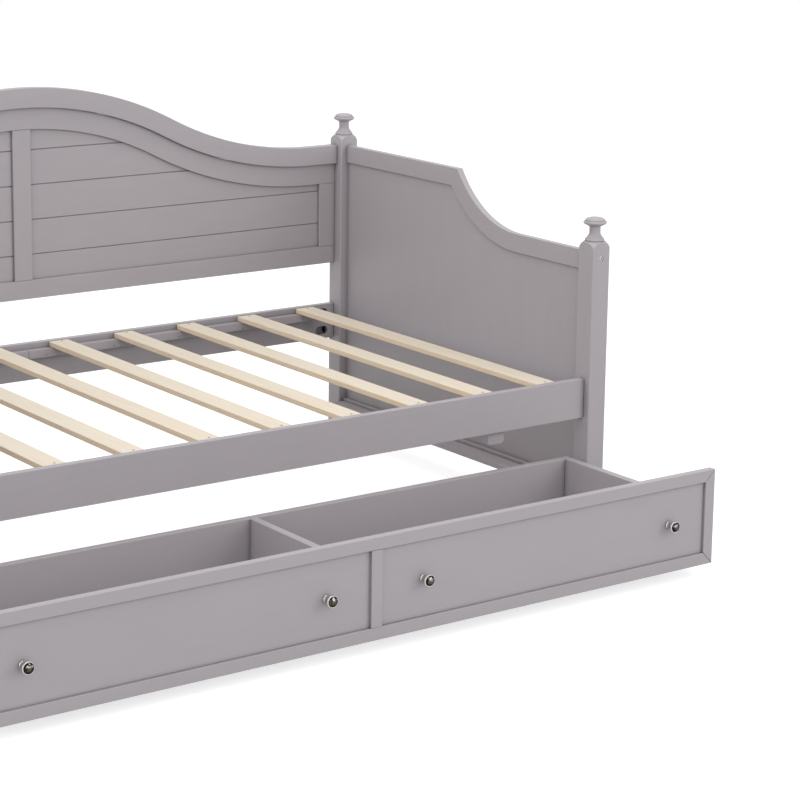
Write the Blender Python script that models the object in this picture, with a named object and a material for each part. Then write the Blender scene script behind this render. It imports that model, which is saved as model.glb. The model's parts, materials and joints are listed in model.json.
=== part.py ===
"""Storage daybed: a painted wooden bed with a raised back and sides, over a wide drawer on casters.

X runs along the bed, -Y is its open front and Z is up from the floor. The drawer stands pulled out.
"""

import math

import bmesh
import bpy
from mathutils import Matrix, Vector

# Fits and shop allowances
GAP = 0.0003
OVERRUN = 0.004
WELD = 0.000001
ARRIS = 0.001
SHARP_ANGLE = math.radians(30)
BOARD = 0.018
TONGUE = 0.008

# Frame posts, and the clear space between them
CLEAR_LENGTH = 1.930
CLEAR_DEPTH = 1.012
POST = 0.054
POST_RISE = 0.028
SHOULDER_HEIGHT = 0.0235
SHOULDER_RADIUS = 0.026
SHOULDER_STEPS = 5
TURNING_SIDES = 24

# Finials, as shares of the disc's radius and of the finial's height
FINIAL_HEIGHT = 0.0575
FINIAL_RADIUS = 0.0285
FINIAL_SIDES = 20
FINIAL_SHARES = (
    (0.00, 0.00), (0.79, 0.00), (0.81, 0.04), (0.76, 0.08), (0.60, 0.17), (0.49, 0.27), (0.48, 0.53),
    (0.70, 0.655), (0.96, 0.73), (1.00, 0.78), (0.85, 0.86), (0.66, 0.96), (0.00, 1.00),
)

# Back: the serpentine crest, the curved rail below it, the stiles and the grooved panels
CREST_PEAK = 1.025
ARM_HEIGHT = 0.8115
CREST_LEVEL = 0.089
CREST_STEPS = 11
CAP_WIDTH = 0.051
CAP_THICKNESS = 0.028
CAP_PROUD = 0.011
CURVED_RAIL_WIDTH = 0.055
BACK_SETBACK = 0.006
BACK_RAIL_FLOOR = 0.481
BACK_RAIL_HEIGHT = 0.0485
CENTRE_STILE_WIDTH = 0.051
END_STILE_WIDTH = 0.051
PANEL_THICKNESS = 0.006
BACK_PANEL_SETBACK = 0.008
BOARD_PITCH = 0.090
FIRST_GROOVE = 0.0655
GROOVE_WIDTH = 0.0035
GROOVE_DEPTH = 0.0025

# Sides: the top rail with its concave sweep, the panel, the bottom rail and the drawer guide
SIDE_DROP = 0.1345
SIDE_LEVEL = 0.261
SIDE_SWEEP_RADIUS = 0.3015
SIDE_STEPS = 12
SIDE_RAIL_WIDTH = 0.047
SIDE_BASE_FLOOR = 0.056
SIDE_BASE_HEIGHT = 0.040
SIDE_BASE_THICKNESS = 0.030
GUIDE_WIDTH = 0.047
GUIDE_THICKNESS = 0.014
GUIDE_DROP = 0.008

# Bed rails, cleats and slats
RAIL_TOP = 0.365
RAIL_HEIGHT = 0.098
SLAT_COUNT = 10
SLAT_WIDTH = 0.055
SLAT_THICKNESS = 0.013
SLAT_DROP = 0.0025
SLAT_END_SPACE = 0.073
CLEAT_DEPTH = 0.020
CLEAT_HEIGHT = 0.022
CLEAT_END_SPACE = 0.070

# Stop blocks behind the front rail
BLOCK_END_INSET = 0.258
BLOCK_WIDTH = 0.048
BLOCK_THICKNESS = 0.0225
BLOCK_DROP = 0.0335
BLOCK_CORNER = 0.010
CORNER_STEPS = 4

# Bolt pockets in the bed rails, and the holes for the frame bolts
POCKET_LENGTH = 0.040
POCKET_HEIGHT = 0.024
POCKET_DEPTH = 0.014
POCKET_END = 0.021
POCKET_PITCH = 0.050
POCKET_STEPS = 6
BOLT_RADIUS = 0.003
BOLT_HEAD_RADIUS = 0.006
BOLT_HEAD_HEIGHT = 0.004
BOLT_SIDES = 12
RAIL_BOLT_REACH = 0.028
SIDE_BOLT_REACH = 0.025
SIDE_BOLT_DROP = 0.013

# Drawer front
TRAVEL = 0.480
FRONT_TOP_CLEARANCE = 0.016
FRONT_END_CLEARANCE = 0.0105
FRONT_FLOOR_CLEARANCE = 0.026
FRONT_MEMBER = 0.028
FRONT_RECESS = 0.007
FRONT_TONGUE = 0.007
FRONT_TONGUE_THICKNESS = 0.006

# Drawer box, carried on its casters
BOX_BOARD = 0.020
BOX_DEPTH = 0.475
BOX_DROP = 0.0785
BOX_GUIDE_CLEARANCE = 0.0045
BASE_THICKNESS = 0.006
BASE_RISE = 0.012
BASE_TONGUE = 0.006

# Casters
WHEEL_RADIUS = 0.020
WHEEL_WIDTH = 0.018
WHEEL_EDGE = 0.002
WHEEL_SIDES = 20
WHEEL_HEADROOM = 0.0095
AXLE_RADIUS = 0.003
AXLE_SIDES = 12
AXLE_PLAY = 0.0003
RIVET_HEIGHT = 0.001
HOUSING_SHEET = 0.002
HOUSING_LENGTH = 0.034
HOUSING_SIDE_PLAY = 0.0015
HOUSING_BELOW_AXLE = 0.007
CASTER_END_INSET = 0.070
CASTER_FRONT_INSET = 0.060
CASTER_BACK_INSET = 0.045

# Knobs, as shares of the knob's radius and of its length, and the holes for their screws
KNOB_RADIUS = 0.014
KNOB_LENGTH = 0.028
KNOB_INNER_PLACE = 0.124
KNOB_END_INSET = 0.1345
KNOB_SIDES = 16
KNOB_SHARES = (
    (0.60, 0.00), (0.62, 0.07), (0.50, 0.17), (0.46, 0.40), (0.57, 0.56), (0.93, 0.70), (1.00, 0.79),
    (0.94, 0.88), (0.82, 0.93), (0.72, 0.91), (0.00, 1.00),
)
KNOB_HOLE_RADIUS = 0.0023
KNOB_BORE_DEPTH = 0.008
KNOB_HOLE_SIDES = 10

# Places that follow from the sizes above
HALF_LENGTH = CLEAR_LENGTH / 2
HALF_DEPTH = CLEAR_DEPTH / 2
POST_X = HALF_LENGTH + POST / 2
POST_Y = HALF_DEPTH + POST / 2
CORNER_RADIUS = math.hypot(POST, POST) / 2
SIDE_FRONT_HEIGHT = ARM_HEIGHT - SIDE_DROP
BACK_POST_TOP = ARM_HEIGHT + POST_RISE
FRONT_POST_TOP = SIDE_FRONT_HEIGHT + POST_RISE
RAIL_FLOOR = RAIL_TOP - RAIL_HEIGHT
RAIL_MIDDLE = RAIL_TOP - RAIL_HEIGHT / 2
FRONT_RAIL_OUTER = -POST_Y - BOARD / 2
FRONT_RAIL_INNER = -POST_Y + BOARD / 2
BACK_OUTER = POST_Y + POST / 2 - BACK_SETBACK
BACK_FACE = BACK_OUTER - BOARD
CREST_RUN = HALF_LENGTH - CREST_LEVEL
CREST_DEPTH = CAP_WIDTH + GAP + CURVED_RAIL_WIDTH
BACK_RAIL_TOP = BACK_RAIL_FLOOR + BACK_RAIL_HEIGHT
STILE_INNER = HALF_LENGTH - END_STILE_WIDTH
SIDE_BASE_TOP = SIDE_BASE_FLOOR + SIDE_BASE_HEIGHT
SIDE_BASE_INNER = POST_X - SIDE_BASE_THICKNESS / 2
GUIDE_INNER = SIDE_BASE_INNER - GUIDE_WIDTH
SLAT_TOP = RAIL_TOP - SLAT_DROP
CLEAT_TOP = SLAT_TOP - SLAT_THICKNESS - GAP
BLOCK_PLACE = HALF_LENGTH - BLOCK_END_INSET
FRONT_HALF = HALF_LENGTH - FRONT_END_CLEARANCE
FRONT_TOP = RAIL_FLOOR - FRONT_TOP_CLEARANCE
FRONT_FLOOR = FRONT_FLOOR_CLEARANCE
FRONT_MIDDLE = (FRONT_TOP + FRONT_FLOOR) / 2
TONGUE_MIDDLE = (FRONT_RECESS + BOARD) / 2
BOX_HALF = GUIDE_INNER - BOX_GUIDE_CLEARANCE
BOX_INNER = BOX_HALF - BOX_BOARD
BOX_FRONT = BOARD + GAP
BOX_BACK = BOARD + BOX_DEPTH
BOX_TOP = FRONT_TOP - BOX_DROP
BASE_FLOOR = 2 * WHEEL_RADIUS + WHEEL_HEADROOM + HOUSING_SHEET + GAP
BASE_TOP = BASE_FLOOR + BASE_THICKNESS
BOX_FLOOR = BASE_FLOOR - BASE_RISE
KNOB_OUTER_PLACE = FRONT_HALF - KNOB_END_INSET
KNOB_FRONT = FRONT_RAIL_OUTER - TRAVEL + FRONT_RECESS - GAP - KNOB_LENGTH
BACKMOST = POST_Y + max(POST / 2, FINIAL_RADIUS)
BED_Y = -(KNOB_FRONT + BACKMOST) / 2

# Finishes: colour, roughness and metallic value
PAINT = ((0.330, 0.305, 0.320, 1.0), 0.45, 0.0)
PINE = ((0.760, 0.650, 0.480, 1.0), 0.60, 0.0)
NICKEL = ((0.560, 0.550, 0.530, 1.0), 0.18, 1.0)
ZINC = ((0.480, 0.480, 0.470, 1.0), 0.35, 1.0)
TREAD = ((0.040, 0.040, 0.042, 1.0), 0.55, 0.0)


def clear_scene():
    """Empties the scene."""
    for item in list(bpy.data.objects):
        bpy.data.objects.remove(item, do_unlink=True)


def mount(name, place, parent=None):
    """An empty that carries the pieces of one body."""
    item = bpy.data.objects.new(name, None)
    bpy.context.scene.collection.objects.link(item)
    item.location = place
    item.parent = parent
    return item


def finish(name, look):
    """The material of one piece."""
    colour, roughness, metallic = look
    material = bpy.data.materials.new(name + "_finish")
    material.use_nodes = True
    shader = material.node_tree.nodes["Principled BSDF"]
    shader.inputs["Base Color"].default_value = colour
    shader.inputs["Roughness"].default_value = roughness
    shader.inputs["Metallic"].default_value = metallic
    material.diffuse_color = colour
    return material


def add(name, shape, look, parent, place=(0, 0, 0)):
    """Makes a named piece of a finished shape, at its place on what carries it."""
    bmesh.ops.recalc_face_normals(shape, faces=shape.faces)
    mesh = bpy.data.meshes.new(name)
    shape.to_mesh(mesh)
    shape.free()
    mesh.materials.append(finish(name, look))
    mesh.shade_smooth()
    mesh.set_sharp_from_angle(angle=SHARP_ANGLE)
    piece = bpy.data.objects.new(name, mesh)
    bpy.context.scene.collection.objects.link(piece)
    piece.parent = parent
    piece.location = place
    return piece


def cutter(name, shape, parent, place=(0, 0, 0)):
    """A tool for cutting pieces, left out of the finished part."""
    tool = add(name, shape, PAINT, parent, place)
    tool.hide_render = True
    tool.display_type = "WIRE"
    return tool


def cut(piece, tool, operation="DIFFERENCE"):
    """Cuts a piece with a tool, or keeps only what lies inside the tool."""
    boolean = piece.modifiers.new(tool.name, "BOOLEAN")
    boolean.solver = "EXACT"
    boolean.operation = operation
    boolean.object = tool
    return piece


def eased(shape):
    """Takes the sharp outer arrises off a shape, and leaves its inner corners square."""
    bmesh.ops.recalc_face_normals(shape, faces=shape.faces)
    sharp = [edge for edge in shape.edges if edge.is_convex and edge.calc_face_angle() > SHARP_ANGLE]
    bmesh.ops.bevel(
        shape, geom=sharp, offset=ARRIS, segments=1, profile=0.5, affect="EDGES", clamp_overlap=True
    )
    return shape


def extrude(shape, face):
    """Extrudes a face in place, drops what it covered and returns the new face."""
    made = bmesh.ops.extrude_face_region(shape, geom=[face])["geom"]
    if any(len(edge.link_faces) > 2 for edge in face.edges):
        bmesh.ops.delete(shape, geom=[face], context="FACES_ONLY")
    return next(item for item in made if isinstance(item, bmesh.types.BMFace))


def loft(rings):
    """A closed solid through rings of points, extruded from ring to ring."""
    shape = bmesh.new()
    face = shape.faces.new([shape.verts.new(point) for point in rings[0]])
    for ring in rings[1:]:
        face = extrude(shape, face)
        for corner, point in zip(face.verts, ring):
            corner.co = point
    return shape


def box(low, high):
    """A block between two corners."""
    low, high = Vector(low), Vector(high)
    shape = bmesh.new()
    stretch = Matrix.Diagonal((*(high - low), 1))
    bmesh.ops.create_cube(shape, size=1, matrix=Matrix.Translation((low + high) / 2) @ stretch)
    return shape


def lengthwise(outline, start, end):
    """An outline of (y, z) points extruded along X."""
    return loft([[(x, y, z) for y, z in outline] for x in (start, end)])


def crosswise(outline, start, end):
    """An outline of (x, z) points extruded along Y."""
    return loft([[(x, y, z) for x, z in outline] for y in (start, end)])


def upright(outline, start, end):
    """An outline of (x, y) points extruded along Z."""
    return loft([[(x, y, z) for x, y in outline] for z in (start, end)])


def turned(profile, sides, ring=False):
    """A profile of (radius, height) points spun round Z; a ring's profile closes on itself."""
    shape = bmesh.new()
    points = [shape.verts.new((radius, 0, height)) for radius, height in profile]
    ends = zip(points, points[1:] + points[:1]) if ring else zip(points, points[1:])
    edges = [shape.edges.new(pair) for pair in ends]
    centre, axis = (0, 0, 0), (0, 0, 1)
    bmesh.ops.spin(
        shape, geom=points + edges, cent=centre, axis=axis, angle=math.tau, steps=sides, use_merge=True
    )
    bmesh.ops.remove_doubles(shape, verts=shape.verts, dist=WELD)
    return shape


def turn(shape, angle, axis):
    """Turns a shape about its own origin."""
    bmesh.ops.transform(shape, matrix=Matrix.Rotation(angle, 4, axis), verts=shape.verts)
    return shape


def repeat(shape, places, group=None):
    """The same solid at each place of one tool, or added to the group."""
    unit = bpy.data.meshes.new("unit")
    shape.to_mesh(unit)
    shape.free()
    group = group or bmesh.new()
    for place in places:
        start = len(group.verts)
        group.from_mesh(unit)
        group.verts.ensure_lookup_table()
        bmesh.ops.transform(group, matrix=place, verts=group.verts[start:])
    bpy.data.meshes.remove(unit)
    return group


def arc(centre, radius, start, end, steps):
    """Points on an arc in a plane, with both of its ends."""
    angles = [start + (end - start) * step / steps for step in range(steps + 1)]
    return [(centre[0] + radius * math.cos(a), centre[1] + radius * math.sin(a)) for a in angles]


def grooved(front, back, start, end, groove_middle, groove_thickness, groove_depth):
    """A board's section of (across, depth) points, with a groove for a tongue in its far edge."""
    near = groove_middle - groove_thickness / 2 - GAP
    far = groove_middle + groove_thickness / 2 + GAP
    floor = end - groove_depth - GAP
    return [
        (front, start), (back, start), (back, end), (far, end),
        (far, floor), (near, floor), (near, end), (front, end),
    ]


def crest_radius():
    """The radius of both arcs of the crest, which meet halfway down it."""
    half_run, half_drop = CREST_RUN / 2, (CREST_PEAK - ARM_HEIGHT) / 2
    return (half_run ** 2 + half_drop ** 2) / (2 * half_drop)


def crest_line(depth):
    """The crest's outline as (x, z) points, drawn in square to the curve by a depth."""
    radius = crest_radius()
    sweep = math.asin(CREST_RUN / 2 / radius)
    quarter = math.pi / 2
    crown = arc((0, CREST_PEAK - radius), radius - depth, quarter, quarter - sweep, CREST_STEPS)
    foot = arc(
        (CREST_RUN, ARM_HEIGHT + radius), radius + depth, -quarter - sweep, -quarter, CREST_STEPS
    )
    right = crown + foot[1:] + [(HALF_LENGTH - GAP, ARM_HEIGHT - depth)]
    left = [(-x, z) for x, z in reversed(right[1:])]
    return left + right


def crown_height(depth, x):
    """The height near the middle of the crest's outline, drawn in by a depth."""
    radius = crest_radius()
    return CREST_PEAK - radius + math.sqrt((radius - depth) ** 2 - x ** 2)


def side_line(depth):
    """The side's outline as (y, z) points from back to front, drawn in by a depth."""
    radius = SIDE_SWEEP_RADIUS + depth
    centre = (SIDE_LEVEL - HALF_DEPTH, SIDE_FRONT_HEIGHT + SIDE_SWEEP_RADIUS)
    level = ARM_HEIGHT - depth
    start = -math.asin((centre[1] - level) / radius)
    sweep = arc(centre, radius, start, -math.pi / 2, SIDE_STEPS)
    back = (HALF_DEPTH - GAP, level)
    front = (GAP - HALF_DEPTH, SIDE_FRONT_HEIGHT - depth)
    return [back] + sweep + [front]


def follow(line, section):
    """Rings of a section of (across, depth) points, carried along parallel outlines."""
    tracks = [line(depth) for _, depth in section]
    return [[(across, *point) for (across, _), point in zip(section, ring)] for ring in zip(*tracks)]


def frame_post(name, x, y, top, holes, parent):
    """A square post whose head is turned to a round shoulder under its finial."""
    shoulder = top - SHOULDER_HEIGHT
    end_angle = math.asin(SHOULDER_HEIGHT / SHOULDER_RADIUS)
    head = arc((CORNER_RADIUS - SHOULDER_RADIUS, shoulder), SHOULDER_RADIUS, 0, end_angle, SHOULDER_STEPS)
    wide = CORNER_RADIUS + OVERRUN
    profile = [(0, -OVERRUN), (wide, -OVERRUN), (wide, shoulder)] + head[1:] + [(0, top)]
    lathe = cutter(name + "_turning", turned(profile, TURNING_SIDES), parent, (x, y, 0))
    half = POST / 2
    square = eased(box((-half, -half, 0), (half, half, top + OVERRUN)))
    post = add(name, square, PAINT, parent, (x, y, 0))
    cut(post, lathe, "INTERSECT")
    cut(post, holes)


def finial(name, x, y, top, parent):
    """A turned finial on a post's head."""
    profile = [(r * FINIAL_RADIUS, h * FINIAL_HEIGHT) for r, h in FINIAL_SHARES]
    add(name, turned(profile, FINIAL_SIDES), PAINT, parent, (x, y, top + GAP))


def posts_and_finials(holes, parent):
    """The four posts, taller at the back."""
    for row, y, top in (("front", -POST_Y, FRONT_POST_TOP), ("back", POST_Y, BACK_POST_TOP)):
        for side, x in (("left", -POST_X), ("right", POST_X)):
            frame_post("post_" + row + "_" + side, x, y, top, holes, parent)
            finial("finial_" + row + "_" + side, x, y, top, parent)


def across_to_y(rings):
    """Rings of (across, x, z) points as (x, y, z), for what runs along the bed."""
    return [[(x, across, z) for across, x, z in ring] for ring in rings]


def crest(parent):
    """The proud cap along the serpentine crest."""
    front = BACK_FACE - CAP_PROUD
    back = front + CAP_THICKNESS
    section = [(front, 0), (back, 0), (back, CAP_WIDTH), (front, CAP_WIDTH)]
    add("crest_cap", eased(loft(across_to_y(follow(crest_line, section)))), PAINT, parent)


def back_frame(parent):
    """The curved rail, the bottom rail and the stiles that hold the back's grooved panels."""
    middle = BACK_FACE + BACK_PANEL_SETBACK + PANEL_THICKNESS / 2
    groove = (middle, PANEL_THICKNESS, TONGUE)
    section = grooved(BACK_FACE, BACK_OUTER, CAP_WIDTH + GAP, CREST_DEPTH, *groove)
    add("back_curved_rail", loft(across_to_y(follow(crest_line, section))), PAINT, parent)

    section = grooved(BACK_FACE, BACK_OUTER, BACK_RAIL_FLOOR, BACK_RAIL_TOP, *groove)
    end = HALF_LENGTH - GAP
    add("back_bottom_rail", eased(lengthwise(section, -end, end)), PAINT, parent)

    foot = BACK_RAIL_TOP + GAP
    for side, sign in (("left", -1), ("right", 1)):
        section = grooved(BACK_FACE, BACK_OUTER, -end, -STILE_INNER, *groove)
        outline = [(-sign * x, y) for y, x in section]
        head = ARM_HEIGHT - CREST_DEPTH - GAP
        add("back_end_stile_" + side, eased(upright(outline, foot, head)), PAINT, parent)

    half = CENTRE_STILE_WIDTH / 2
    edge = grooved(BACK_FACE, BACK_OUTER, 0, half, *groove)[2:]
    outline = [(x, y) for y, x in edge] + [(-x, y) for y, x in reversed(edge)]
    head = crown_height(CREST_DEPTH, half) - GAP
    add("back_centre_stile", eased(upright(outline, foot, head)), PAINT, parent)


def back_panels(parent):
    """Two panels with level grooves, their tops cut to the crest and their edges let into the frame."""
    front = BACK_FACE + BACK_PANEL_SETBACK
    back = front + PANEL_THICKNESS
    floor = BACK_RAIL_TOP - TONGUE
    section = [(back, floor), (front, floor)]
    height = BACK_RAIL_TOP + FIRST_GROOVE
    while height < CREST_PEAK - CREST_DEPTH:
        for rise, depth in ((-GROOVE_WIDTH / 2, 0), (0, GROOVE_DEPTH), (GROOVE_WIDTH / 2, 0)):
            section.append((front + depth, height + rise))
        height += BOARD_PITCH
    section += [(front, CREST_PEAK), (back, CREST_PEAK)]
    line = crest_line(CREST_DEPTH - TONGUE)
    outline = [(line[0][0], floor - OVERRUN)] + line + [(line[-1][0], floor - OVERRUN)]
    tool = cutter("panel_outline", crosswise(outline, front - OVERRUN, back + OVERRUN), parent)
    inner = CENTRE_STILE_WIDTH / 2 - TONGUE
    outer = STILE_INNER + TONGUE
    for side, start, end in (("left", -outer, -inner), ("right", inner, outer)):
        panel = add("back_panel_" + side, lengthwise(section, start, end), PAINT, parent)
        cut(panel, tool, "INTERSECT")


def bed_side(side, sign, holes, parent):
    """One side: a swept top rail and a bottom rail round a thin panel, and the drawer's guide."""
    middle = sign * POST_X
    half_board, half_base = BOARD / 2, SIDE_BASE_THICKNESS / 2
    end = HALF_DEPTH - GAP
    groove = (middle, PANEL_THICKNESS, TONGUE)

    section = grooved(middle - half_board, middle + half_board, 0, SIDE_RAIL_WIDTH, *groove)
    rail = add("side_top_rail_" + side, eased(loft(follow(side_line, section))), PAINT, parent)
    cut(rail, holes)

    section = grooved(middle - half_base, middle + half_base, SIDE_BASE_FLOOR, SIDE_BASE_TOP, *groove)
    base = add("side_bottom_rail_" + side, eased(crosswise(section, -end, end)), PAINT, parent)
    cut(base, holes)

    top = side_line(SIDE_RAIL_WIDTH - TONGUE)
    floor = SIDE_BASE_TOP - TONGUE
    outline = top + [(top[-1][0], floor), (top[0][0], floor)]
    half_panel = PANEL_THICKNESS / 2
    panel = lengthwise(outline, middle - half_panel, middle + half_panel)
    add("side_panel_" + side, panel, PAINT, parent)

    guide_top = SIDE_BASE_TOP - GUIDE_DROP
    near, far = sorted((sign * GUIDE_INNER, sign * (SIDE_BASE_INNER - GAP)))
    plank = box((near, -end, guide_top - GUIDE_THICKNESS), (far, end, guide_top))
    add("drawer_guide_" + side, eased(plank), PAINT, parent)


def pocket_tool(name, face, sign, parent):
    """Four stadium pockets sunk into a bed rail's inner face; sign is the way that the face looks."""
    radius = POCKET_HEIGHT / 2
    straight = POCKET_LENGTH / 2 - radius
    quarter = math.pi / 2
    outline = arc((straight, 0), radius, -quarter, quarter, POCKET_STEPS)
    outline += arc((-straight, 0), radius, quarter, 3 * quarter, POCKET_STEPS)
    near, far = sorted((sign * OVERRUN, -sign * POCKET_DEPTH))
    x = HALF_LENGTH - POCKET_END - POCKET_LENGTH / 2
    places = [
        Matrix.Translation((side * x, face, RAIL_MIDDLE + level * POCKET_PITCH / 2))
        for side in (-1, 1)
        for level in (-1, 1)
    ]
    return cutter(name, repeat(crosswise(outline, near, far), places), parent)


def bed_rails(holes, parent):
    """The rails between the posts at the front and the back, which carry the slats."""
    end = HALF_LENGTH - GAP
    for row, low, high, face, sign in (
        ("front", FRONT_RAIL_OUTER, FRONT_RAIL_INNER, FRONT_RAIL_INNER, 1),
        ("back", BACK_FACE, BACK_OUTER, BACK_FACE, -1),
    ):
        board = eased(box((-end, low, RAIL_FLOOR), (end, high, RAIL_TOP)))
        rail = add("bed_rail_" + row, board, PAINT, parent)
        cut(rail, pocket_tool("pockets_" + row, face, sign, parent))
        cut(rail, holes)


def stop_block_tool(parent):
    """The two blocks that hang from the front cleat, where the closing drawer front meets them."""
    half = BLOCK_WIDTH / 2
    inner = half - BLOCK_CORNER
    top = CLEAT_TOP - CLEAT_HEIGHT / 2
    middle = RAIL_FLOOR - BLOCK_DROP + BLOCK_CORNER
    quarter = math.pi / 2
    outline = [(half, top), (-half, top)]
    outline += arc((-inner, middle), BLOCK_CORNER, -math.pi, -quarter, CORNER_STEPS)
    outline += arc((inner, middle), BLOCK_CORNER, -quarter, 0, CORNER_STEPS)
    face = FRONT_RAIL_INNER + GAP
    block = crosswise(outline, face, face + BLOCK_THICKNESS)
    places = [Matrix.Translation((sign * BLOCK_PLACE, 0, 0)) for sign in (-1, 1)]
    return cutter("stop_blocks", repeat(block, places), parent)


def slat_cleats(parent):
    """A cleat along each rail for the slats to rest on, the front one with the stop blocks."""
    end = HALF_LENGTH - CLEAT_END_SPACE
    for row, low, high in (
        ("front", FRONT_RAIL_INNER + GAP, FRONT_RAIL_INNER + CLEAT_DEPTH),
        ("back", BACK_FACE - CLEAT_DEPTH, BACK_FACE - GAP),
    ):
        length = box((-end, low, CLEAT_TOP - CLEAT_HEIGHT), (end, high, CLEAT_TOP))
        cleat = add("slat_cleat_" + row, length, PAINT, parent)
        if row == "front":
            cut(cleat, stop_block_tool(parent), "UNION")


def slat_places():
    """The middles of the slats, spread evenly between the end spaces."""
    first = SLAT_WIDTH / 2 + SLAT_END_SPACE - HALF_LENGTH
    pitch = -2 * first / (SLAT_COUNT - 1)
    return [first + index * pitch for index in range(SLAT_COUNT)]


def slats(parent):
    """The slats across the bed."""
    front, back = FRONT_RAIL_INNER + GAP, BACK_FACE - GAP
    half = SLAT_WIDTH / 2
    for number, x in enumerate(slat_places(), 1):
        board = box((-half, front, SLAT_TOP - SLAT_THICKNESS), (half, back, SLAT_TOP))
        add("slat_{:02d}".format(number), eased(board), PINE, parent, (x, 0, 0))


def bolt_hole(length):
    """The hole of a bolt along +Z, its head's seat at zero."""
    profile = [
        (0, -BOLT_HEAD_HEIGHT - OVERRUN), (BOLT_HEAD_RADIUS, -BOLT_HEAD_HEIGHT - OVERRUN),
        (BOLT_HEAD_RADIUS, 0), (BOLT_RADIUS, 0), (BOLT_RADIUS, length), (0, length),
    ]
    return turned(profile, BOLT_SIDES)


def bolt_places():
    """The places of the rails' bolts, out of the pockets, and of the sides', in through the posts."""
    rails, sides = [], []
    seat = HALF_LENGTH - POCKET_END
    for side in (-1, 1):
        outwards = Matrix.Rotation(side * math.pi / 2, 4, "Y")
        for y in (FRONT_RAIL_INNER - POCKET_DEPTH / 2, BACK_FACE + POCKET_DEPTH / 2):
            for level in (-1, 1):
                height = RAIL_MIDDLE + level * POCKET_PITCH / 2
                rails.append(Matrix.Translation((side * seat, y, height)) @ outwards)
        for row, height in ((-1, SIDE_FRONT_HEIGHT), (1, ARM_HEIGHT)):
            inwards = Matrix.Rotation(row * math.pi / 2, 4, "X")
            face = row * (POST_Y + POST / 2 - BOLT_HEAD_HEIGHT)
            for z in (height - SIDE_BOLT_DROP, SIDE_BASE_FLOOR + SIDE_BASE_HEIGHT / 2):
                sides.append(Matrix.Translation((side * POST_X, face, z)) @ inwards)
    return rails, sides


def bolt_holes(parent):
    """The tool for the holes of the frame's bolts."""
    rails, sides = bolt_places()
    holes = repeat(bolt_hole(POCKET_END + RAIL_BOLT_REACH), rails)
    holes = repeat(bolt_hole(POST - BOLT_HEAD_HEIGHT + SIDE_BOLT_REACH), sides, holes)
    return cutter("bolt_holes", holes, parent)


def front_member(name, start, end, inward, parent):
    """One mitred member of the drawer front, grooved for the panel; it runs from start to end."""
    start, end, inward = Vector(start), Vector(end), Vector(inward)
    along = (end - start).normalized()
    tongue = (TONGUE_MIDDLE, FRONT_TONGUE_THICKNESS, FRONT_TONGUE)
    section = grooved(0, BOARD, 0, FRONT_MEMBER, *tongue)
    rings = [
        [start + Vector((0, y, 0)) + along * GAP + (along + inward) * depth for y, depth in section],
        [end + Vector((0, y, 0)) - along * GAP + (inward - along) * depth for y, depth in section],
    ]
    add(name, eased(loft(rings)), PAINT, parent)


def drawer_front(parent):
    """The mitred frame of the drawer front, and its panel with the strip over its middle."""
    left, right = -FRONT_HALF, FRONT_HALF
    low, high = FRONT_FLOOR, FRONT_TOP
    front_member("drawer_top_rail", (left, 0, high), (right, 0, high), (0, 0, -1), parent)
    front_member("drawer_bottom_rail", (left, 0, low), (right, 0, low), (0, 0, 1), parent)
    front_member("drawer_end_stile_left", (left, 0, low), (left, 0, high), (1, 0, 0), parent)
    front_member("drawer_end_stile_right", (right, 0, low), (right, 0, high), (-1, 0, 0), parent)

    reach = FRONT_MEMBER - FRONT_TONGUE
    near = TONGUE_MIDDLE - FRONT_TONGUE_THICKNESS / 2
    far = TONGUE_MIDDLE + FRONT_TONGUE_THICKNESS / 2
    panel = box((left + reach, near, low + reach), (right - reach, far, high - reach))
    panel.normal_update()
    for direction, face_y in ((-1, FRONT_RECESS), (1, BOARD)):
        face = next(face for face in panel.faces if face.normal.y * direction > 0.5)
        bmesh.ops.inset_region(panel, faces=[face], thickness=FRONT_TONGUE + GAP, use_even_offset=True)
        field = extrude(panel, face)
        for corner in field.verts:
            corner.co.y = face_y
        panel.normal_update()
    piece = add("drawer_front_panel", panel, PAINT, parent)

    half_strip = FRONT_MEMBER / 2
    edge = FRONT_MEMBER + GAP
    strip = box((-half_strip, 0, low + edge), (half_strip, FRONT_RECESS + OVERRUN, high - edge))
    cut(piece, cutter("middle_strip", strip, parent), "UNION")
    cut(piece, cutter("knob_holes", knob_holes(), parent))


def box_board(outer):
    """The section of a board of the drawer box, its outer face at a place, grooved for the base."""
    inner = outer - BOX_BOARD
    bed = inner + BASE_TONGUE + GAP
    low, high = BASE_FLOOR - GAP, BASE_TOP + GAP
    return [
        (outer, BOX_FLOOR), (outer, BOX_TOP), (inner, BOX_TOP), (inner, high),
        (bed, high), (bed, low), (inner, low), (inner, BOX_FLOOR),
    ]


def drawer_box(parent):
    """The box behind the drawer front: two sides, the back, the divider and the base in its grooves."""
    for side, sign in (("left", -1), ("right", 1)):
        outline = [(sign * x, z) for x, z in box_board(BOX_HALF)]
        add("drawer_side_" + side, eased(crosswise(outline, BOX_FRONT, BOX_BACK)), PAINT, parent)

    end = BOX_INNER - GAP
    add("drawer_back", eased(lengthwise(box_board(BOX_BACK), -end, end)), PAINT, parent)

    half, inner = BOX_BOARD / 2, BOX_BACK - BOX_BOARD
    divider = box((-half, BOX_FRONT, BASE_TOP + GAP), (half, inner - GAP, BOX_TOP))
    add("drawer_divider", eased(divider), PAINT, parent)

    reach = BOX_INNER + BASE_TONGUE
    base = box((-reach, BOX_FRONT, BASE_FLOOR), (reach, inner + BASE_TONGUE, BASE_TOP))
    add("drawer_base", base, PAINT, parent)


def knob_places():
    """The knobs' middles along the drawer front."""
    return (-KNOB_OUTER_PLACE, -KNOB_INNER_PLACE, KNOB_INNER_PLACE, KNOB_OUTER_PLACE)


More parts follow.
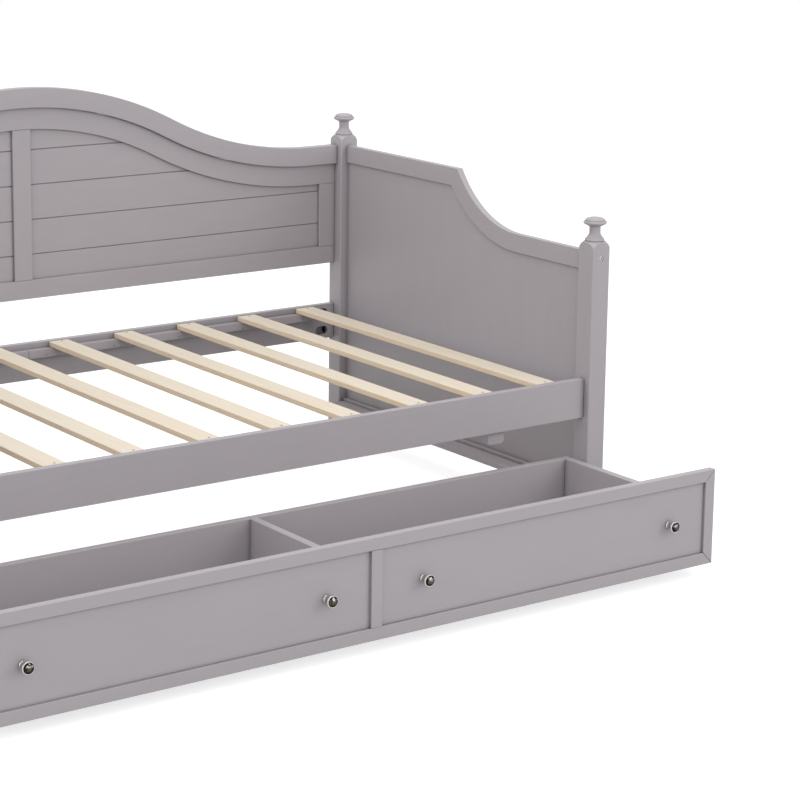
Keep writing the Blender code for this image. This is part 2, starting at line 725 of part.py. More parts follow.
def knob_holes():
    """The holes for the knobs' screws through the panel."""
    start, end = FRONT_RECESS - OVERRUN, BOARD + OVERRUN
    profile = [(0, -end), (KNOB_HOLE_RADIUS, -end), (KNOB_HOLE_RADIUS, -start), (0, -start)]
    shape = turn(turned(profile, KNOB_HOLE_SIDES), math.pi / 2, "X")
    return repeat(shape, [Matrix.Translation((x, 0, FRONT_MIDDLE)) for x in knob_places()])


def knobs(parent):
    """The turned knobs, bored for their screws."""
    profile = [(0, KNOB_BORE_DEPTH), (KNOB_HOLE_RADIUS, KNOB_BORE_DEPTH), (KNOB_HOLE_RADIUS, 0)]
    profile += [(r * KNOB_RADIUS, h * KNOB_LENGTH) for r, h in KNOB_SHARES]
    for number, x in enumerate(knob_places(), 1):
        shape = turn(turned(profile, KNOB_SIDES), math.pi / 2, "X")
        add("knob_{}".format(number), shape, NICKEL, parent, (x, FRONT_RECESS - GAP, FRONT_MIDDLE))


def caster_places():
    """Each caster's name and the middle of its axle, under the drawer's base."""
    x = BOX_INNER - CASTER_END_INSET
    rows = (("front", BOX_FRONT + CASTER_FRONT_INSET), ("back", BOX_BACK - BOX_BOARD - CASTER_BACK_INSET))
    return [
        (row + "_" + side, (sign * x, y, WHEEL_RADIUS))
        for row, y in rows
        for side, sign in (("left", -1), ("right", 1))
    ]


def casters(parent):
    """Fixed casters: a folded housing with its riveted axle, and a free wheel on each."""
    inner = WHEEL_WIDTH / 2 + HOUSING_SIDE_PLAY
    outer = inner + HOUSING_SHEET
    top = BASE_FLOOR - GAP - WHEEL_RADIUS
    roof = top - HOUSING_SHEET
    outline = [
        (-outer, -HOUSING_BELOW_AXLE), (-inner, -HOUSING_BELOW_AXLE), (-inner, roof), (inner, roof),
        (inner, -HOUSING_BELOW_AXLE), (outer, -HOUSING_BELOW_AXLE), (outer, top), (-outer, top),
    ]
    end = outer + RIVET_HEIGHT
    rivet = [(0, -end), (AXLE_RADIUS, -end), (AXLE_RADIUS, end), (0, end)]
    half, bore, rim = WHEEL_WIDTH / 2, AXLE_RADIUS + AXLE_PLAY, WHEEL_RADIUS - WHEEL_EDGE
    profile = [
        (bore, half), (bore, -half), (rim, -half), (WHEEL_RADIUS, WHEEL_EDGE - half),
        (WHEEL_RADIUS, half - WHEEL_EDGE), (rim, half),
    ]
    for name, place in caster_places():
        channel = crosswise(outline, -HOUSING_LENGTH / 2, HOUSING_LENGTH / 2)
        housing = add("caster_housing_" + name, channel, ZINC, parent, place)
        axle = turn(turned(rivet, AXLE_SIDES), math.pi / 2, "Y")
        cut(housing, cutter("axle_" + name, axle, parent, place), "UNION")
        wheel = turn(turned(profile, WHEEL_SIDES, ring=True), math.pi / 2, "Y")
        add("caster_wheel_" + name, wheel, TREAD, parent, place)


def main():
    """Builds the bed about its middle, and the drawer at its pulled-out place."""
    clear_scene()
    bed = mount("daybed", (0, BED_Y, 0))
    holes = bolt_holes(bed)
    posts_and_finials(holes, bed)
    crest(bed)
    back_frame(bed)
    back_panels(bed)
    for side, sign in (("left", -1), ("right", 1)):
        bed_side(side, sign, holes, bed)
    bed_rails(holes, bed)
    slat_cleats(bed)
    slats(bed)

    drawer = mount("drawer", (0, FRONT_RAIL_OUTER - TRAVEL, 0), bed)
    drawer_front(drawer)
    drawer_box(drawer)
    knobs(drawer)
    casters(drawer)


main()
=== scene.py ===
"""Storage daybed: the looks of a painted wooden daybed with pine slats and a wide drawer on casters.

The frame holds every board at its real place. This file gives the boards their paint and the slats their
grain, and makes the turned, curved and bolted pieces as finely as they show: posts, finials, the
serpentine crest, the swept side rails, knobs, casters and fasteners.
"""

from __future__ import annotations

import json
import logging
import math
from collections.abc import Callable, Iterable, Sequence
from dataclasses import dataclass, field
from enum import Enum

import bmesh
import bpy
from mathutils import Matrix, Vector

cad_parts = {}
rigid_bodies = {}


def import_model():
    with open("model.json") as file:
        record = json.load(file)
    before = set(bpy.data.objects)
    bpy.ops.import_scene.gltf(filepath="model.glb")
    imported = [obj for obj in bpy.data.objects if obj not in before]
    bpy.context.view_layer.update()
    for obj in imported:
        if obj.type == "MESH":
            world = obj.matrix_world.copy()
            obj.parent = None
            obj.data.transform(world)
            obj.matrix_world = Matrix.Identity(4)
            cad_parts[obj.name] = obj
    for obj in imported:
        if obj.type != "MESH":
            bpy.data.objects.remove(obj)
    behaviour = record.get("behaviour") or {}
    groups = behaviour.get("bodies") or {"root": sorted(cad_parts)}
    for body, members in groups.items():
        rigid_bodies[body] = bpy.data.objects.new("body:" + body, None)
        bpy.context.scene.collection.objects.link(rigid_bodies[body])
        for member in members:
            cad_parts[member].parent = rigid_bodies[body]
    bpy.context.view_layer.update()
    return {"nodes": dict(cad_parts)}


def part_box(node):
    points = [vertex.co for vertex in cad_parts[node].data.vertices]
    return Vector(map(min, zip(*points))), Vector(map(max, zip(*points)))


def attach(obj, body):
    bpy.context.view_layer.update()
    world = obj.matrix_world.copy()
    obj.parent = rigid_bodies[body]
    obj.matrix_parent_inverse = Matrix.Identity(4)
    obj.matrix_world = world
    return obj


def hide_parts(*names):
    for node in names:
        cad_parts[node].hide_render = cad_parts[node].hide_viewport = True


LOG = logging.getLogger("daybed")

Point = tuple[float, float, float]
Colour = tuple[float, float, float]
Profile = list[tuple[float, float]]

SMOOTH_BELOW = math.radians(32)
QUARTER = math.pi / 2

# Lengths in metres that several pieces share

GAP = 0.0003
OVERRUN = 0.004
WELD = 0.000001
BED_Y = 0.2409
HALF_LENGTH = 0.965
ARM_HEIGHT = 0.8115
PANEL_THICKNESS = 0.006
TONGUE = 0.008

CORNERS = ("front_left", "front_right", "back_left", "back_right")


class Body(Enum):
    """The bodies of the frame that pieces ride on."""

    BED = "bed_frame"
    DRAWER = "drawer"


class Slot(Enum):
    """The record's material slots."""

    PAINT = "painted_wood"
    PINE = "pine"
    KNOB = "knob_metal"
    PLATED = "plated_steel"
    TREAD = "caster_tread"


class Grain(Enum):
    """The way the grain runs in a board, as the stretch of a pattern on each axis."""

    ALONG = (1.0, 24.0, 24.0)
    ACROSS = (24.0, 1.0, 24.0)
    UP = (24.0, 24.0, 1.0)


# Shader graphs


@dataclass(frozen=True)
class Pattern:
    """A noise pattern: its fineness, its octaves and how far it is warped."""

    fineness: float
    octaves: float
    warp: float = 0.0


class Value:
    """A number on a socket. Sums on it add Math nodes to its graph."""

    def __init__(self, graph: Graph, socket: bpy.types.NodeSocket) -> None:
        """Wraps an output of a graph's node."""
        self.graph = graph
        self.socket = socket

    def __add__(self, other: Value | float) -> Value:
        """The sum."""
        return self.graph.maths("ADD", self, other)

    __radd__ = __add__

    def __mul__(self, other: Value | float) -> Value:
        """The product."""
        return self.graph.maths("MULTIPLY", self, other)

    __rmul__ = __mul__

    def __sub__(self, other: Value | float) -> Value:
        """The difference."""
        return self.graph.maths("SUBTRACT", self, other)

    def __rsub__(self, other: float) -> Value:
        """The difference, from a number."""
        return self.graph.maths("SUBTRACT", other, self)

    def clamped(self) -> Value:
        """The number held between nought and one."""
        return self.graph.maths("ADD", self, 0.0, clamp=True)

    def larger(self, other: Value | float) -> Value:
        """The larger of this and another number."""
        return self.graph.maths("MAXIMUM", self, other)


class Graph:
    """The nodes of one material or world."""

    def __init__(self, tree: bpy.types.NodeTree) -> None:
        """Empties a tree to build in."""
        self.tree = tree
        tree.nodes.clear()

    def node(
        self,
        kind: str,
        settings: dict[str, object] | None = None,
        inputs: dict[str | int, object] | None = None,
    ) -> bpy.types.Node:
        """Adds a node.

        Args:
            kind: The node's type.
            settings: Its properties.
            inputs: A number, colour, socket or Value for each input named.

        Returns:
            The node.
        """
        made = self.tree.nodes.new(kind)
        for name, value in (settings or {}).items():
            setattr(made, name, value)
        for name, value in (inputs or {}).items():
            if isinstance(value, Value):
                value = value.socket
            if isinstance(value, bpy.types.NodeSocket):
                self.tree.links.new(value, made.inputs[name])
            else:
                made.inputs[name].default_value = value
        return made

    def maths(
        self, operation: str, first: Value | float, second: Value | float, clamp: bool = False
    ) -> Value:
        """The result of a Math node, held between nought and one where that is asked."""
        settings = {"operation": operation, "use_clamp": clamp}
        return Value(self, self.node("ShaderNodeMath", settings, {0: first, 1: second}).outputs[0])

    def stretched(self, stretch: Sequence[float], turn: Sequence[float] = (0, 0, 0)) -> bpy.types.NodeSocket:
        """Object coordinates with each axis scaled.

        Args:
            stretch: The scale of each axis.
            turn: The angles that the pattern is turned by first.

        Returns:
            The coordinates.
        """
        place = self.node("ShaderNodeTexCoord").outputs["Object"]
        turned_place = self.node("ShaderNodeMapping", inputs={"Vector": place, "Rotation": turn})
        inputs = {"Vector": turned_place.outputs[0], "Scale": stretch}
        return self.node("ShaderNodeMapping", inputs=inputs).outputs[0]

    def noise(self, place: bpy.types.NodeSocket, pattern: Pattern) -> Value:
        """A noise pattern's height at a place, about a half."""
        drawn = {"Scale": pattern.fineness, "Detail": pattern.octaves, "Distortion": pattern.warp}
        return Value(self, self.node("ShaderNodeTexNoise", inputs={"Vector": place, **drawn}).outputs[0])

    def openness(self, reach: float, samples: int = 12) -> Value:
        """How open a place is within reach: one on a flat face, and less in a crease."""
        kind = "ShaderNodeAmbientOcclusion"
        return Value(self, self.node(kind, {"samples": samples}, {"Distance": reach}).outputs["AO"])

    def blended(self, share: Value, first: object, second: object) -> bpy.types.NodeSocket:
        """A colour turned into a second one by a share."""
        made = self.node("ShaderNodeMix", {"data_type": "RGBA"}, {0: share, 6: first, 7: second})
        return made.outputs[2]

    def bump(self, height: Value, depth: float, strength: float) -> bpy.types.NodeSocket:
        """The normal of a small relief, so many metres deep, taken at a share of its strength."""
        inputs = {"Height": height, "Distance": depth, "Strength": strength}
        return self.node("ShaderNodeBump", inputs=inputs).outputs[0]


def opaque(colour: Colour) -> tuple[float, float, float, float]:
    """A colour with full alpha."""
    return (*colour, 1.0)


def shaded(colour: Colour, share: float) -> tuple[float, float, float, float]:
    """A colour made lighter or darker by a share."""
    return opaque(tuple(channel * share for channel in colour))


def surfaced(name: str, build: Callable[[Graph], dict[str, object]]) -> bpy.types.Material:
    """Makes a material.

    Args:
        name: Its name.
        build: Adds the nodes and returns what the shader's inputs hold.

    Returns:
        The material.
    """
    material = bpy.data.materials.new(name)
    material.use_nodes = True
    graph = Graph(material.node_tree)
    shader = graph.node("ShaderNodeBsdfPrincipled", inputs=build(graph))
    graph.node("ShaderNodeOutputMaterial", inputs={"Surface": shader.outputs[0]})
    return material


# Finishes


@dataclass(frozen=True)
class PaintedWood:
    """Warm grey paint sprayed on planed wood, whose grain still tells through the coat.

    It is darkened in creases and grooves by painted shade, but not on faces that lie closed.
    """

    grain: Grain
    colour: Colour = (0.372, 0.346, 0.367)
    unevenness: float = 0.025
    pore_share: float = 0.05
    pore_tone: float = 0.80
    fibres: Pattern = Pattern(13, 6, 0.4)
    pores: Pattern = Pattern(42, 3)
    patches: Pattern = Pattern(3.2, 3)
    drift: Pattern = Pattern(5, 4, 1.2)
    mist: Pattern = Pattern(620, 2)
    depth: float = 0.00013
    strength: float = 0.55
    # Painted shade in creases: its share, its dark copy of the paint, how far it looks, and from what
    # openness it starts
    crease_shade_share: float = 0.95
    crease_shade_tone: float = 0.10
    crease_shade_reach: float = 0.024
    crease_shade_start: float = 0.84
    hidden_below: float = 0.03

    def material(self) -> bpy.types.Material:
        """The paint for boards whose grain runs one way."""
        return surfaced("paint_grain_" + self.grain.name.lower(), self.build)

    def build(self, graph: Graph) -> dict[str, object]:
        """Adds the paint's nodes.

        Args:
            graph: The material's graph.

        Returns:
            What the shader's inputs hold.
        """
        plain = graph.stretched((1, 1, 1))
        board = graph.stretched(self.grain.value)
        lines = graph.noise(board, self.fibres)
        pores = graph.noise(board, self.pores)
        cloud = graph.noise(plain, self.patches)
        spray = graph.noise(plain, self.mist)
        broad = graph.noise(graph.stretched(tuple(math.sqrt(s) for s in self.grain.value)), self.drift)
        pits = ((0.46 - lines) * 6).clamped()
        tone = ((cloud + broad) * 1.3 - 0.8).clamped()
        deep, pale = (shaded(self.colour, 1 + part) for part in (-self.unevenness, self.unevenness))
        coat = graph.blended(tone, deep, pale)
        coat = graph.blended(pits * self.pore_share, coat, shaded(self.colour, self.pore_tone))
        # Painted shade: where ambient occlusion finds a crease, the colour turns towards a dark copy of the
        # paint
        openness = graph.openness(self.crease_shade_reach)
        in_view = ((openness - self.hidden_below) * 14).clamped()
        crease = ((self.crease_shade_start - openness) * self.crease_shade_share).clamped() * in_view
        coat = graph.blended(crease, coat, shaded(self.colour, self.crease_shade_tone))
        relief = lines * 0.6 + pores * 0.3 + spray * 0.1
        return {
            "Base Color": coat,
            "Roughness": 0.40 + cloud * 0.10 + pores * 0.06,
            "Normal": graph.bump(relief, self.depth, self.strength),
            "Specular IOR Level": 0.42,
        }


@dataclass(frozen=True)
class BarePine:
    """Pale planed pine, with growth rings drawn out along each slat, and sides of a warmer tone that are also
    painted lighter, as light from the side.
    """

    face_height: float
    face_depth: float = 0.0004
    pale: Colour = (0.690, 0.622, 0.518)
    dark: Colour = (0.585, 0.460, 0.310)
    # Colour of the slats' sides and of the warm board patches: a warmer wood tone, lighter than the top as
    # painted light from the side
    edge: Colour = (0.790, 0.640, 0.468)
    rings: Pattern = Pattern(5.5, 5, 1.4)
    ring_stretch: Point = (26, 1.1, 26)
    ring_share: float = 0.34
    fibres: Pattern = Pattern(16, 4)
    fibre_stretch: Point = (60, 1.5, 60)
    fibre_share: float = 0.18
    fibre_tone: float = 0.86
    boards: Pattern = Pattern(2, 1)
    board_stretch: Point = (4.3, 0.3, 4.3)
    board_share: float = 0.8
    board_tone: float = 0.84
    depth: float = 0.00025
    strength: float = 0.5

    def material(self) -> bpy.types.Material:
        """The wood of the slats."""
        return surfaced("bare_pine", self.build)

    def build(self, graph: Graph) -> dict[str, object]:
        """Adds the wood's nodes.

        Args:
            graph: The material's graph.

        Returns:
            What the shader's inputs hold.
        """
        rings = graph.noise(graph.stretched(self.ring_stretch), self.rings)
        fibre = graph.noise(graph.stretched(self.fibre_stretch), self.fibres)
        board = graph.noise(graph.stretched(self.board_stretch), self.boards)
        late = ((rings - 0.46) * 4.2).clamped()
        streak = ((fibre - 0.5) * 3).clamped()
        height = graph.node("ShaderNodeSeparateXYZ", inputs={0: graph.stretched((1, 1, 1))}).outputs[2]
        # Painted light: the faces below the top take the lighter, warmer side colour
        lit_sawn_side = ((self.face_height - self.face_depth - Value(graph, height)) * 4000).clamped()
        wood = graph.blended(lit_sawn_side, opaque(self.pale), opaque(self.edge))
        wood = graph.blended(late * self.ring_share, wood, opaque(self.dark))
        wood = graph.blended(streak * self.fibre_share, wood, shaded(self.dark, self.fibre_tone))
        warm = (board - 0.42).clamped() * self.board_share
        return {
            "Base Color": graph.blended(warm, wood, shaded(self.edge, self.board_tone)),
            "Roughness": 0.56 + fibre * 0.16,
            "Normal": graph.bump(rings * 0.5 + fibre * 0.5, self.depth, self.strength),
            "Specular IOR Level": 0.3,
        }


@dataclass(frozen=True)
class PlatedMetal:
    """Bright or dark plating, with fine rubbing marks and a little dullness in places."""

    name: str
    colour: Colour
    roughness: float
    marks: float = 0.10
    tones: tuple[float, float] = (0.90, 1.06)
    dulling: Pattern = Pattern(95, 4)
    rubbing: Pattern = Pattern(260, 3)
    rub_stretch: Point = (1, 18, 9)
    rub_turn: Point = (0.4, 0.3, 0.7)
    depth: float = 0.00001
    strength: float = 0.3

    def material(self) -> bpy.types.Material:
        """The plated metal."""
        return surfaced(self.name, self.build)

    def build(self, graph: Graph) -> dict[str, object]:
        """Adds the plating's nodes.

        Args:
            graph: The material's graph.

        Returns:
            What the shader's inputs hold.
        """
        haze = graph.noise(graph.stretched((1, 1, 1)), self.dulling)
        rubbed = graph.noise(graph.stretched(self.rub_stretch, self.rub_turn), self.rubbing)
        dull, clear = (shaded(self.colour, tone) for tone in self.tones)
        return {
            "Base Color": graph.blended(haze, dull, clear),
            "Metallic": 1.0,
            "Roughness": self.roughness + haze * self.marks + rubbed * self.marks * 0.5,
            "Normal": graph.bump(rubbed, self.depth, self.strength),
        }


@dataclass(frozen=True)
class KnobPlate:
    """A knob's plating: a bright rim and stem, and a smoked face with a painted reflection in its middle,
    grey higher up and brown lower down.
    """

    bright: Colour = (0.54, 0.53, 0.51)
    smoked: Colour = (0.004, 0.004, 0.004)
    # Colours of the painted reflection on the face: grey higher up, brown lower down
    clear: Colour = (0.36, 0.36, 0.35)
    painted_reflection_brown: Colour = (0.085, 0.066, 0.050)
    tones: tuple[float, float] = (0.92, 1.05)
    dulling: Pattern = Pattern(230, 3)
    reflection_noise: Pattern = Pattern(330, 2)
    rim_start: float = 0.83
    attributes: tuple[str, str] = ("reach", "rise")

    def material(self) -> bpy.types.Material:
        """The plating of the knobs."""
        return surfaced("knob_plating", self.build)

    def build(self, graph: Graph) -> dict[str, object]:
        """Adds the plating's nodes.

        Args:
            graph: The material's graph.

        Returns:
            What the shader's inputs hold.
        """
        reach, rise = (
            Value(graph, graph.node("ShaderNodeAttribute", {"attribute_name": name}).outputs["Fac"])
            for name in self.attributes
        )
        plain = graph.stretched((1, 1, 1))
        haze = graph.noise(plain, self.dulling)
        # Painted reflection: the middle of the black face takes a patch, grey higher up and brown lower down,
        # broken up by noise
        reflection_patch = ((rise + graph.noise(plain, self.reflection_noise) * 1.6 - 0.84) * 5).clamped()
        middle = (1.0 - (reach + haze * 2.2 - 1.44) * 3.5).clamped()
        rim = ((reach - self.rim_start) * 60).clamped()
        cloud = graph.blended(reflection_patch, opaque(self.painted_reflection_brown), opaque(self.clear))
        face = graph.blended(middle, opaque(self.smoked), cloud)
        dull, clear = (shaded(self.bright, tone) for tone in self.tones)
        return {
            "Base Color": graph.blended(rim, face, graph.blended(haze, dull, clear)),
            "Metallic": 1.0,
            "Roughness": 0.14 + rim * 0.12 + haze * 0.08,
        }


@dataclass(frozen=True)
class MouldedTread:
    """Dark moulded plastic with a fine matt texture and scuffs."""

    colour: Colour = (0.035, 0.035, 0.037)
    texture: Pattern = Pattern(900, 3)
    scuffs: Pattern = Pattern(110, 5, 0.8)
    scuff_share: float = 0.5
    scuff_tone: float = 2.6
    depth: float = 0.00005
    strength: float = 0.5

    def material(self) -> bpy.types.Material:
        """The plastic of the wheels."""
        return surfaced("moulded_tread", self.build)

    def build(self, graph: Graph) -> dict[str, object]:
        """Adds the plastic's nodes.

        Args:
            graph: The material's graph.

        Returns:
            What the shader's inputs hold.
        """
        plain = graph.stretched((1, 1, 1))
        speckle = graph.noise(plain, self.texture)
        scuff = ((graph.noise(plain, self.scuffs) - 0.55) * 5).clamped() * self.scuff_share
        return {
            "Base Color": graph.blended(scuff, opaque(self.colour), shaded(self.colour, self.scuff_tone)),
            "Roughness": 0.50 + speckle * 0.20,
            "Normal": graph.bump(speckle, self.depth, self.strength),
        }


@dataclass
class Finishes:
    """Every finish of the bed, each made once."""

    paint: dict[Grain, bpy.types.Material] = field(init=False)

    def __post_init__(self) -> None:
        """Makes the materials."""
        self.paint = {grain: PaintedWood(grain).material() for grain in Grain}
        self.pine = BarePine(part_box("slat_01")[1].z).material()
        self.knob = KnobPlate().material()
        self.nickel = PlatedMetal("dull_nickel", (0.42, 0.41, 0.395), 0.44).material()
        self.zinc = PlatedMetal("dull_zinc", (0.52, 0.52, 0.50), 0.34, 0.16).material()
        self.black = PlatedMetal("black_oxide", (0.030, 0.030, 0.032), 0.38, 0.12).material()
        self.bronze = PlatedMetal("dark_bronze", (0.110, 0.095, 0.080), 0.42, 0.12).material()
        self.slate = PlatedMetal("slate_zinc", (0.250, 0.250, 0.255), 0.46, 0.16).material()
        self.tread = MouldedTread().material()


# Shapes


def turned(profile: Profile, sides: int) -> bmesh.types.BMesh:
    """Spins a profile round Z.

    Args:
        profile: Points of radius and height.
        sides: The steps of the full turn.

    Returns:
        The turning.
    """
    shape = bmesh.new()
    points = [shape.verts.new((radius, 0, height)) for radius, height in profile]
    edges = [shape.edges.new(pair) for pair in zip(points, points[1:])]
    around = {"cent": (0, 0, 0), "axis": (0, 0, 1), "angle": math.tau, "steps": sides, "use_merge": True}
    bmesh.ops.spin(shape, geom=points + edges, **around)
    bmesh.ops.remove_doubles(shape, verts=shape.verts, dist=WELD)
    bmesh.ops.recalc_face_normals(shape, faces=shape.faces)
    return shape


def curved(points: Profile, steps: int) -> Profile:
    """A smooth curve through a few points.

    Args:
        points: The points it passes through.
        steps: The parts that each stretch is cut into.

    Returns:
        The curve's points, with both ends.
    """
    made = []
    for index in range(len(points) - 1):
        before, first, last, after = (
            Vector(points[min(max(index + shift, 0), len(points) - 1)]) for shift in (-1, 0, 1, 2)
        )
        for step in range(steps):
            t = step / steps
            line = 2 * first + (last - before) * t
            line += (2 * before - 5 * first + 4 * last - after) * t**2
            line += (3 * first - before - 3 * last + after) * t**3
            made.append(tuple(line / 2))
    return [*made, tuple(points[-1])]


def arc(centre: tuple[float, float], radius: float, start: float, end: float, steps: int) -> Profile:
    """An arc's points from one angle to another, with both ends."""
    angles = [start + (end - start) * step / steps for step in range(steps + 1)]
    return [(centre[0] + radius * math.cos(a), centre[1] + radius * math.sin(a)) for a in angles]


def grooved(front: float, back: float, start: float, end: float, middle: float) -> Profile:
    """A rail's section of across and depth, with a groove for a panel in its far edge.

    Args:
        front: The near face.
        back: The far face.
        start: The depth where the rail begins.
        end: The depth where it ends.
        middle: The middle of the groove.

    Returns:
        The section.
    """
    half, floor = PANEL_THICKNESS / 2 + GAP, end - TONGUE - GAP
    far, near = middle + half, middle - half
    inner = [(far, end), (far, floor), (near, floor), (near, end)]
    return [(front, start), (back, start), (back, end), *inner, (front, end)]


def block(low: Sequence[float], high: Sequence[float]) -> bmesh.types.BMesh:
    """A block with its sides along the axes.

    Args:
        low: Its lowest corner.
        high: Its highest corner.

    Returns:
        The block.
    """
    low, high = Vector(low), Vector(high)
    shape = bmesh.new()
    stretch = Matrix.Diagonal((*(high - low), 1))
    bmesh.ops.create_cube(shape, size=1, matrix=Matrix.Translation((low + high) / 2) @ stretch)
    return shape


def loft(rings: Sequence[Sequence[Point]]) -> bmesh.types.BMesh:
    """Extrudes a section from ring to ring.

    Args:
        rings: The section's points at each station.

    Returns:
        The closed solid.
    """
    shape = bmesh.new()
    face = shape.faces.new([shape.verts.new(point) for point in rings[0]])
    for index, ring in enumerate(rings[1:]):
        made = bmesh.ops.extrude_face_region(shape, geom=[face])["geom"]
        if index:
            bmesh.ops.delete(shape, geom=[face], context="FACES_ONLY")
        face = next(item for item in made if isinstance(item, bmesh.types.BMFace))
        for corner, point in zip(face.verts, ring):
            corner.co = point
    bmesh.ops.recalc_face_normals(shape, faces=shape.faces)
    return shape


def eased(shape: bmesh.types.BMesh, radius: float, segments: int = 2) -> bmesh.types.BMesh:
    """Rounds the outer arrises.

    Args:
        shape: The solid.
        radius: The rounding's width.
        segments: Its facets.

    Returns:
        The same solid.
    """
    bmesh.ops.recalc_face_normals(shape, faces=shape.faces)
    sharp = [edge for edge in shape.edges if edge.is_convex and edge.calc_face_angle(0.0) > SMOOTH_BELOW]
    bmesh.ops.bevel(
        shape,
        geom=sharp,
        offset=radius,
        segments=segments,
        profile=0.5,
        affect="EDGES",
        clamp_overlap=True,
        material=-1,
    )
    return shape


def moved(shape: bmesh.types.BMesh, matrix: Matrix) -> bmesh.types.BMesh:
    """The same shape, moved by a matrix."""
    bmesh.ops.transform(shape, matrix=matrix, verts=shape.verts)
    return shape


def repeated(shape: bmesh.types.BMesh, places: Iterable[Matrix]) -> bmesh.types.BMesh:
    """Sets the same solid at each place.

    Args:
        shape: The solid, which is used up.
        places: Where each goes.

    Returns:
        All of them in one shape.
    """
    unit = bpy.data.meshes.new("unit")
    shape.to_mesh(unit)
    shape.free()
    group = bmesh.new()
    for place in places:
        start = len(group.verts)
        group.from_mesh(unit)
        group.verts.ensure_lookup_table()
        bmesh.ops.transform(group, matrix=place, verts=group.verts[start:])
    bpy.data.meshes.remove(unit)
    return group


def carved(shape: bmesh.types.BMesh, *tools: tuple[str, bmesh.types.BMesh]) -> bmesh.types.BMesh:
    """Cuts a solid with others.

    Args:
        shape: The solid.
        tools: Each operation's name and the solid that it uses.

    Returns:
        What is left.
    """
    helpers = []
    for solid in (shape, *(tool for _, tool in tools)):
        mesh = bpy.data.meshes.new("carving")
        solid.to_mesh(mesh)
        solid.free()
        helpers.append(bpy.data.objects.new("carving", mesh))
        bpy.context.scene.collection.objects.link(helpers[-1])
    work = helpers[0]
    for (operation, _), helper in zip(tools, helpers[1:]):
        boolean = work.modifiers.new("cut", "BOOLEAN")
        boolean.operation = operation
        boolean.solver = "EXACT"
        boolean.object = helper
    result = bmesh.new()
    result.from_object(work, bpy.context.evaluated_depsgraph_get())
    for helper in helpers:
        mesh = helper.data
        bpy.data.objects.remove(helper)
        bpy.data.meshes.remove(mesh)
    return result


def set_piece(
    name: str,
    shape: bmesh.types.BMesh,
    finish: bpy.types.Material,
    body: str,
    stands_for: Sequence[str] = (),
) -> None:
    """Makes a piece of a finished shape and sets it on its body.

    Args:
        name: The piece's name.
        shape: Its shape, in place, which is used up.
        finish: Its material.
        body: The body that it rides on.
        stands_for: The nodes of the frame that it shows instead of.
    """
    bmesh.ops.recalc_face_normals(shape, faces=shape.faces)
    mesh = bpy.data.meshes.new(name)
    shape.to_mesh(mesh)
    shape.free()
    mesh.materials.append(finish)
    mesh.shade_smooth()
    mesh.set_sharp_from_angle(angle=SMOOTH_BELOW)
    piece = bpy.data.objects.new(name, mesh)
    bpy.context.scene.collection.objects.link(piece)
    flats = piece.modifiers.new("flat_faces", "WEIGHTED_NORMAL")
    flats.keep_sharp = True
    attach(piece, body)
    if stands_for:
        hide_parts(*stands_for)
    LOG.info("%s: %d faces on %s", name, len(mesh.polygons), body)


# Sub-assemblies


@dataclass
class Assembly:
    """What the sub-assemblies share: the frame's nodes and the finishes."""

    nodes: dict[str, bpy.types.Object]
    finishes: Finishes

    def dress(self, finish: bpy.types.Material, *names: str) -> None:
        """Gives nodes of the frame their finish.

        Args:
            finish: The material.
            names: The nodes.
        """
        for name in names:
            self.nodes[name].data.materials.clear()
            self.nodes[name].data.materials.append(finish)
            LOG.info("%s: finished in %s", name, finish.name)

    def painted(self, name: str, shape: bmesh.types.BMesh, grain: Grain, node: str) -> None:
        """Sets a painted piece on the bed, in place of a node of the frame."""
        finish = self.finishes.paint[grain]
        set_piece(name, shape, finish, Body.BED.value, [node])

    def plated(
        self, name: str, shape: bmesh.types.BMesh, finish: bpy.types.Material, body: Body = Body.BED
    ) -> None:
        """Sets a piece of plated steel on its body."""
        set_piece(name, shape, finish, body.value)


